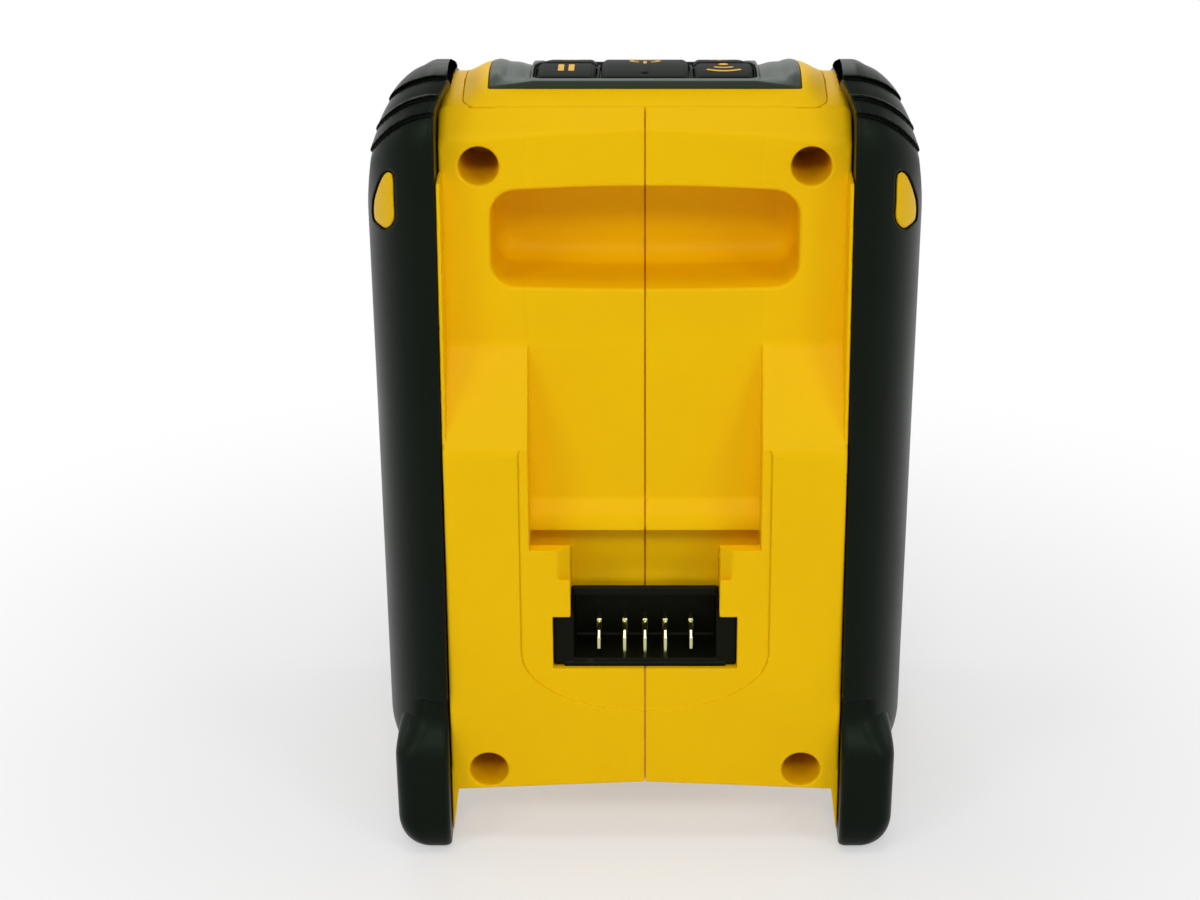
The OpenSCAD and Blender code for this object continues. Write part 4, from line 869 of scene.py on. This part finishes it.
LEAN_REAR, LEAN_REAR_Y, LEAN_FRONT, LEAN_FRONT_Y = 5.6, (-45, 22), 2.4, (20, 50)


def view_height(y, z):
    """Height of a point as seen from behind and above, along which the grip ridges lie."""
    return -(y - VIEW_Y) * VIEW_BACK + (z - VIEW_Z) * VIEW_UP


def ridge_relief(ax, y, z):
    """Grip ridges over the shoulder: each stands up from a crease and runs out upwards."""
    q = view_height(y, z) + RIDGE_SAG * np.maximum(ax - PANEL_X, 0) ** 2
    relief = np.zeros_like(q)
    for start in RIDGES:
        t = (q - start) / RIDGE_LENGTH
        proud = LAST_PROUD if start == RIDGES[-1] else RIDGE_PROUD
        tile = proud * (1 - RIDGE_FALL * np.clip(t, 0, 1))
        tile = tile * smooth(t, *RIDGE_RISE) * (1 - smooth(t, *RIDGE_END))
        crease = -CREASE_CUT * np.exp(-((q - start + CREASE_BEHIND) / CREASE_WIDE) ** 2)
        relief += tile + crease
    return relief * smooth(y, *RIDGE_Y) * (1 - RIDGE_FADE * smooth(ax, *RIDGE_X))


def bumper_body(ax, y, z):
    """Bumper without its ridges: every edge of the side view moves in as the outside rolls off."""
    taper = GRIP_TAPER * (TAPER_Z - z) + TOE_IN * smooth(TOE_Z - z, 0, TOE_RUN)
    u = np.clip((ax - BUMPER_X) / BUMPER_W, 0, 1)
    u = np.clip((ax + taper * u - BUMPER_X) / BUMPER_W, 0, 0.995)
    root = np.sqrt(1 - u * u)
    inset = ROLL_OFF * (1 - root)
    steep = ROLL_OFF / BUMPER_W * u / root
    rear = (y - GRIP_BACK_Y + inset + (z - GRIP_LEAN_Z) * GRIP_LEAN) * 0.9989
    fall = 0.5 + 1.3 * smooth(ax, PANEL_X, 73)
    top = z - GRIP_TOP_Z - GRIP_RISE * (y - GRIP_TOP_Y) + fall + TOP_SHARE * inset
    top = top * 0.9545
    front = -GRIP_FRONT_Y + inset - y
    sole = GRIP_SOLE_Z + SOLE_SHARE * inset - z
    rear_r = np.maximum(SHOULDER_R - TOP_SHARE * inset, 3)
    front_r = np.maximum(BROW_R - TOP_SHARE * inset, 3)
    low_r = np.maximum(SOLE_R - inset, 2)

    high = np.maximum(both(rear, top, rear_r), both(front, top, front_r))
    low = np.maximum(both(rear, sole, low_r), both(front, sole, low_r))
    side = np.maximum(high, low)
    notch = FOOT_NOTCH_Y - inset + 4.5 * smooth(ax, 69, 80) - np.abs(y)
    side = without(side, both(z - FOOT_NOTCH_Z, notch, 1.2), 0.6)
    side = side / np.sqrt(1 + steep * steep)
    return both(side, ax + taper - BUMPER_X - 0.995 * BUMPER_W, 1.2)


def softened(points, rounds):
    """Outline with its corners cut again and again until it runs smoothly."""
    loop = np.asarray(points, dtype=float)
    for _ in range(rounds):
        ahead = np.roll(loop, -1, 0)
        loop = np.stack([loop * 0.8 + ahead * 0.2, loop * 0.2 + ahead * 0.8], 1).reshape(-1, 2)
    return loop


TEARDROP = softened([
    (81.9, 89.0), (80.2, 87.8), (80.3, 79.6), (80.1, 74.6), (81.2, 72.4), (83.5, 71.1),
    (87.8, 74.5), (88.1, 77.6), (87.7, 80.8), (85.9, 84.8), (83.8, 88.1)
], 2)
INLAY_GAP, INLAY_POCKET, INLAY_THICK = 0.35, 2.2, 2.6


def teardrop(ax, y, z):
    """Distance from the outline of the inlay, as it is seen from behind."""
    return outline_distance(ax, view_height(y, z), TEARDROP)


def near_inlay(ax, y, z):
    """Where the inlay's pocket can be, so that its outline is measured nowhere else."""
    return (ax > 73) & (ax < 93) & (z > 205) & (z < 262) & (y > 10)


def side_bumper(x, y, z):
    """Bumper whose inner edge leans over the crown, with ridges and the pocket of the inlay."""
    ax = np.abs(x)
    body = bumper_body(ax, y, z)
    body = body - ridge_relief(ax, y, z)
    seen = smooth(view_height(y, z), *LEAN_SEEN)
    lean = LEAN_REAR * seen * smooth(y, *LEAN_REAR_Y) + LEAN_FRONT * smooth(-y, *LEAN_FRONT_Y)
    lean = lean * smooth(over_top(ax, y, z), *LEAN_CREST)
    body = both(body, GRIP_INNER_X - lean - ax, 1.0 + 0.4 * smooth(z, 236, 256))
    spot = near_inlay(ax, y, z)
    if spot.any():
        hole = teardrop(ax[spot], y[spot], z[spot]) - INLAY_GAP
        floor = -bumper_body(ax[spot], y[spot], z[spot]) - INLAY_POCKET
        body[spot] = without(body[spot], both(hole, floor), 0.6)
    return body


moulded(side_bumper, (63.5, -73, 28.5), (92.5, 73.5, 270.5), 0.65, [
    ("left_bumper", "", "speaker", "soft_grip", rubber_grip, ["side_bumper_left"]),
    ("right_bumper", "x", "speaker", "soft_grip", rubber_grip, ["side_bumper_right"])
], keep=0.3)


def inlay(x, y, z):
    ax = np.abs(x)
    body = bumper_body(ax, y, z)
    plate = both(teardrop(ax, y, z), body - 0.15, 1.1)
    return both(plate, -body - INLAY_THICK)


moulded(inlay, (77, 20, 212), (92, 66, 262), 0.4, [
    ("left_teardrop", "", "speaker", "housing", yellow_inlay, ["bumper_inlay_left"]),
    ("right_teardrop", "x", "speaker", "housing", yellow_inlay, ["bumper_inlay_right"])
])


# Rubber feet

FOOT_X, FOOT_BACK_Y, FOOT_FRONT_Y, FOOT_TOP_Z = 85.1, 75.0, 38.0, 57.2
FOOT_DOME, FOOT_DOME_SPAN = 6.4, (36.5, 52)
FOOT_CORNER, FOOT_CORNER_MORE, FOOT_CORNER_SPAN = 6.0, 7.0, (34, 54)
CURL_Z, CURL_MOST, CURL_SIDE, CURL_BACK = 14.0, 0.97, 9.0, 8.0
FOOT_TAPER_Z = 36.0


def foot(x, y, z):
    """Boot with a domed shoulder, whose outside and back curl under to the floor."""
    ax, ay = np.abs(x), np.abs(y)
    dome = FOOT_DOME * smooth(z, *FOOT_DOME_SPAN)
    curl = 1 - np.sqrt(1 - np.clip((CURL_Z - z) / CURL_Z, 0, CURL_MOST) ** 2)
    taper = GRIP_TAPER * np.maximum(FOOT_TAPER_Z - z, 0)
    outer = ax - FOOT_X + dome * 0.35 + taper + CURL_SIDE * curl
    rear = ay - FOOT_BACK_Y + dome + CURL_BACK * curl
    corner = FOOT_CORNER + FOOT_CORNER_MORE * smooth(z, *FOOT_CORNER_SPAN)
    plan = both(outer, rear, corner)
    plan = both(plan, GRIP_INNER_X - ax, 2.6)
    plan = both(plan, FOOT_FRONT_Y - ay + dome * 0.3, 2.0)
    return both(both(plan, z - FOOT_TOP_Z, 0.8), -z, 2.4)


moulded(foot, (66, 37, -0.3), (86, 76, 57.5), 0.55, [
    ("left_rear_foot", "", "speaker", "soft_grip", rubber_grip, ["rear_foot_left"]),
    ("right_rear_foot", "x", "speaker", "soft_grip", rubber_grip, ["rear_foot_right"]),
    ("left_front_foot", "y", "speaker", "soft_grip", rubber_grip, ["front_foot_left"]),
    ("right_front_foot", "xy", "speaker", "soft_grip", rubber_grip, ["front_foot_right"])
], keep=0.5)


# Terminal block

BLOCK_X, BLOCK_Y, BLOCK_LOW_Z, BLOCK_HIGH_Z = 30.7, 65.0, 68.9, 87.4
SILL_X, SILL_Y, SILL_HIGH_Z = 27.3, 65.4, 70.0
NECK_X, NECK_Y, NECK_LOW_Z, NECK_TOP_Z = 24.9, 60.0, 80.0, 95.6
NECK_BEND_Y, NECK_FALL = 59.0, 0.47
CAVITY_X, CAVITY_Y, CAVITY_LOW_Z, CAVITY_HIGH_Z = 24.0, 47.0, 71.2, 92.4
BLOCK_FRONT_Y = 42.3


def terminal_block(x, y, z):
    """Block with a wide base, a neck above it and one open cavity for the blades."""
    ax = np.abs(x)
    wide = both(both(ax - BLOCK_X, slab(z, BLOCK_LOW_Z, BLOCK_HIGH_Z), 0.6), y - BLOCK_Y, 0.6)
    sill = both(both(ax - SILL_X, slab(z, SEAT_LOW_Z, SILL_HIGH_Z), 0.3), y - SILL_Y, 0.3)
    top = (z - NECK_TOP_Z + np.maximum(NECK_BEND_Y - y, 0) * NECK_FALL) * 0.9
    neck = both(both(both(ax - NECK_X, top, 0.8), NECK_LOW_Z - z), y - NECK_Y, 1.0)
    body = both(either(np.minimum(wide, sill), neck, 0.3), BLOCK_FRONT_Y - y)
    hollow = both(ax - CAVITY_X, slab(z, CAVITY_LOW_Z, CAVITY_HIGH_Z), 1.0)
    return without(body, both(hollow, CAVITY_Y - y, 1.0), 0.4)


moulded(terminal_block, (-31, 42, 67.8), (31, 65.6, 96), 0.4, [
    ("contact_block", "", "speaker", "terminal", block_nylon, ["terminal_block"])
], keep=0.5)


BLADES = [(-15.6, 73.0), (-6.9, 70.9), (0.0, 70.9), (6.9, 70.9), (15.6, 73.0)]
BLADE_HALF, BLADE_ROOT_Y, BLADE_TIP_Y, BLADE_TOP_Z = 0.62, 46.5, 62.0, 79.2
NOSE_Y, NOSE_FALL = 59.5, 0.7
CRIMP_HALF, CRIMP_Y, CRIMP_TOP_Z = 0.95, (50, 52.5), 80.0


def blades(x, y, z):
    """Flat contacts that stand out of the block's back wall, with a bevelled nose and a crimp."""
    found = np.full(x.shape, 1e3, dtype=np.asarray(x).dtype)
    nose = (z - BLADE_TOP_Z + np.maximum(y - NOSE_Y, 0) * NOSE_FALL) * 0.82
    for place, low in BLADES:
        side = np.abs(x - place)
        flat = both(side - BLADE_HALF, slab(y, BLADE_ROOT_Y, BLADE_TIP_Y), 0.3)
        flat = both(flat, both(nose, low - z, 0.6), 0.3)
        crimp = both(side - CRIMP_HALF, slab(y, *CRIMP_Y), 0.3)
        crimp = both(crimp, slab(z, low + 0.4, CRIMP_TOP_Z), 0.4)
        found = np.minimum(found, np.minimum(flat, crimp))
    return found


moulded(blades, (-17, 46, 70.4), (17, 62.4, 80.6), 0.25, [
    ("contact_blades", "", "speaker", "contacts", blade_nickel, ["terminal_blades"])
])


# Printed symbols on the keys, drawn about their own middle, with their top to the battery side

BAR, STROKE = 6.0, 1.4
PAUSE_APART, PAUSE_W, PAUSE_H = 1.7, 2.0, 9.0
RING_R, RING_HALF, RING_GAP, RING_BAR_W, RING_BAR_H = 4.6, 0.6, 1.9, 1.2, 5.6
FAN_Y, FAN_SLOPE, FAN_R, FAN_HALF, FAN_DOT = 5.0, 0.7, (5.4, 9.6), 0.65, 1.6
PRINT_HALF, SYMBOL_X, SYMBOL_Y, SYMBOL_Z = 0.08, 6.5, 7.0, 2.2


def bar(u, v, width, height):
    return both(np.abs(u) - width / 2, np.abs(v) - height / 2, 0.2)


def pause_mark(u, v):
    return bar(np.abs(u) - PAUSE_APART, v, PAUSE_W, PAUSE_H)


def power_mark(u, v):
    ring = np.abs(np.hypot(u, v) - RING_R) - RING_HALF
    gap = both(np.abs(u) - RING_GAP, -v)
    return np.minimum(without(ring, gap), bar(u, v - 4.4, RING_BAR_W, RING_BAR_H))


def pair_mark(u, v):
    """Dot under two arcs."""
    run = np.hypot(u, v + FAN_Y)
    fan = (np.abs(u) - (v + FAN_Y) * FAN_SLOPE) * 0.82
    arcs = np.minimum(np.abs(run - FAN_R[0]), np.abs(run - FAN_R[1])) - FAN_HALF
    return np.minimum(both(arcs, fan, 0.3), run - FAN_DOT)


def minus_mark(u, v):
    return bar(u, v, BAR, STROKE)


def plus_mark(u, v):
    return np.minimum(bar(u, v, BAR, STROKE), bar(u, v, STROKE, BAR))


def print_symbol(name, mark, middle, body):
    mid_x, mid_y = middle

    def field(x, y, z):
        over_key = np.abs(z - crown(y) - KEY_RISE) * 0.97
        return both(mark(x - mid_x, y - mid_y), over_key - PRINT_HALF)

    mid_z = float(crown(np.float64(mid_y))) + KEY_RISE
    low = (mid_x - SYMBOL_X, mid_y - SYMBOL_Y, mid_z - SYMBOL_Z)
    high = (mid_x + SYMBOL_X, mid_y + SYMBOL_Y, mid_z + SYMBOL_Z)
    moulded(field, low, high, 0.16, [(name, "", body, "keypad", key_print, [])])


KEY_MID = POWER_X + KEY_GAP + SIDE_W / 2
print_symbol("power_symbol", power_mark, (0.0, 6.0), "power_key_body")
print_symbol("pause_symbol", pause_mark, (KEY_MID, 20.0), "pause_key_body")
print_symbol("pair_symbol", pair_mark, (-KEY_MID, 20.0), "pair_key_body")
print_symbol("minus_symbol", minus_mark, (KEY_MID - 1, 0.0), "volume_down_key_body")
print_symbol("plus_symbol", plus_mark, (1 - KEY_MID, 0.0), "volume_up_key_body")


# Studio

def white_where_seen(tree, surface, mask=None):
    """Adds plain white for rays that show the background, not for those that light the object."""
    path = node(tree, "ShaderNodeLightPath")
    seen = path.outputs["Is Camera Ray"]
    for label in ("Is Glossy Ray", "Is Transmission Ray"):
        step = node(tree, "ShaderNodeMath", None, {0: seen, 1: path.outputs[label]},
                    operation="MAXIMUM")
        seen = step.outputs["Value"]
    if mask:
        step = node(tree, "ShaderNodeMath", None, {0: seen, 1: mask}, operation="MULTIPLY")
        seen = step.outputs["Value"]
    white = node(tree, "ShaderNodeEmission", {"Color": (1, 1, 1, 1), "Strength": 1.0})
    return node(tree, "ShaderNodeMixShader", None,
                {0: seen, 1: surface, 2: white.outputs["Emission"]})


SHADOW_NEAR, SHADOW_FAR, NEAR_WHITE = 0.12, 0.4, 0.45
AIR_LIGHT = 0.33
FLOOR_FRONT_Y, FLOOR_MID_Y, FLOOR_HALF, BACKDROP_Y, BACKDROP_Z, BEND = 3.2, 0.6, 4.0, 2.6, 3.2, 0.9


def studio_surface(name):
    """Pale card that keeps the object's shadow and turns to plain white away from it."""
    material = bpy.data.materials.new(name)
    material.use_nodes = True
    tree = material.node_tree
    tree.nodes.clear()
    card = node(tree, "ShaderNodeBsdfPrincipled",
                {"Base Color": (0.9, 0.9, 0.9, 1), "Roughness": 0.9, "Specular IOR Level": 0.1})
    place = node(tree, "ShaderNodeNewGeometry")
    far = node(tree, "ShaderNodeVectorMath", None, {0: place.outputs["Position"]},
               operation="LENGTH")
    mask = node(tree, "ShaderNodeMapRange",
                {"From Min": SHADOW_NEAR, "From Max": SHADOW_FAR, "To Min": NEAR_WHITE},
                {"Value": far.outputs["Value"]}, interpolation_type="SMOOTHSTEP")
    shown = white_where_seen(tree, card.outputs["BSDF"], mask.outputs["Result"])
    node(tree, "ShaderNodeOutputMaterial", None, {"Surface": shown.outputs["Shader"]})
    return material


def build_stage():
    """Floor that runs back and curves up into the backdrop."""
    start = BEND - BACKDROP_Y
    profile = [(FLOOR_FRONT_Y, 0.0), (FLOOR_MID_Y, 0.0), (-FLOOR_MID_Y, 0.0), (start, 0.0)]
    profile += [
        (start - BEND * math.sin(a), BEND - BEND * math.cos(a))
        for a in np.linspace(0, math.pi / 2, 13)[1:]
    ]
    profile.append((-BACKDROP_Y, BACKDROP_Z))
    points = np.array([(x, y, z) for y, z in profile for x in (-FLOOR_HALF, FLOOR_HALF)]) / MM
    faces = np.array([(2 * i + 1, 2 * i, 2 * i + 2, 2 * i + 3) for i in range(len(profile) - 1)])
    card = make_object("studio_floor", points, faces)
    card.data.shade_smooth()
    card.data.materials.append(studio_surface("studio_card"))


LIT_SPOT = (0.0, 0.0, 0.14)


def lamp(name, place, size, power):
    """Soft box that is turned to the middle of the object."""
    light = bpy.data.lights.new(name, "AREA")
    light.shape = "RECTANGLE"
    light.size, light.size_y = size
    light.energy = power
    holder = bpy.data.objects.new(name, light)
    holder.location = place
    aim = Vector(LIT_SPOT) - Vector(place)
    holder.rotation_euler = aim.to_track_quat("-Z", "Y").to_euler()
    bpy.context.scene.collection.objects.link(holder)


def build_world():
    world = bpy.data.worlds.new("studio_air")
    bpy.context.scene.world = world
    world.use_nodes = True
    tree = world.node_tree
    tree.nodes.clear()
    air = node(tree, "ShaderNodeBackground", {"Color": (1, 1, 1, 1), "Strength": AIR_LIGHT})
    shown = white_where_seen(tree, air.outputs["Background"])
    node(tree, "ShaderNodeOutputWorld", None, {"Surface": shown.outputs["Shader"]})


build_stage()
build_world()
lamp("soft_left", (1.5, 1.7, 1.5), (0.7, 0.7), 8)
lamp("soft_right", (-1.5, 1.7, 1.5), (0.7, 0.7), 8)
lamp("soft_near", (0.0, 1.9, 1.55), (0.6, 0.35), 9.5)
lamp("soft_top", (0.0, 0.5, 2.4), (0.7, 0.5), 7)
lamp("soft_back", (0.3, -2.0, 1.6), (1.5, 1.2), 12)
for side in (-1, 1):
    lamp(f"soft_side_{side + 1}", (side * 2.5, -0.6, 1.3), (1.2, 1.2), 8)


# Camera

LENS, SENSOR, SHIFT = 88.74, 36.0, -0.0375
ELEVATION, DISTANCE = math.radians(23), 0.9761
CAMERA_AIM = (0.0, 0.060, 0.1456)


def build_camera():
    """Camera at the photograph's angle, looking at the battery side."""
    lens = bpy.data.cameras.new("camera")
    lens.lens = LENS
    lens.sensor_width = SENSOR
    lens.shift_x = SHIFT
    lens.clip_end = 50
    holder = bpy.data.objects.new("camera", lens)
    aim = Vector(CAMERA_AIM)
    holder.location = aim + DISTANCE * Vector((0, math.cos(ELEVATION), math.sin(ELEVATION)))
    holder.rotation_euler = (aim - holder.location).to_track_quat("-Z", "Y").to_euler()
    bpy.context.scene.collection.objects.link(holder)
    bpy.context.scene.camera = holder


build_camera()
bpy.context.scene.view_settings.view_transform = "Standard"
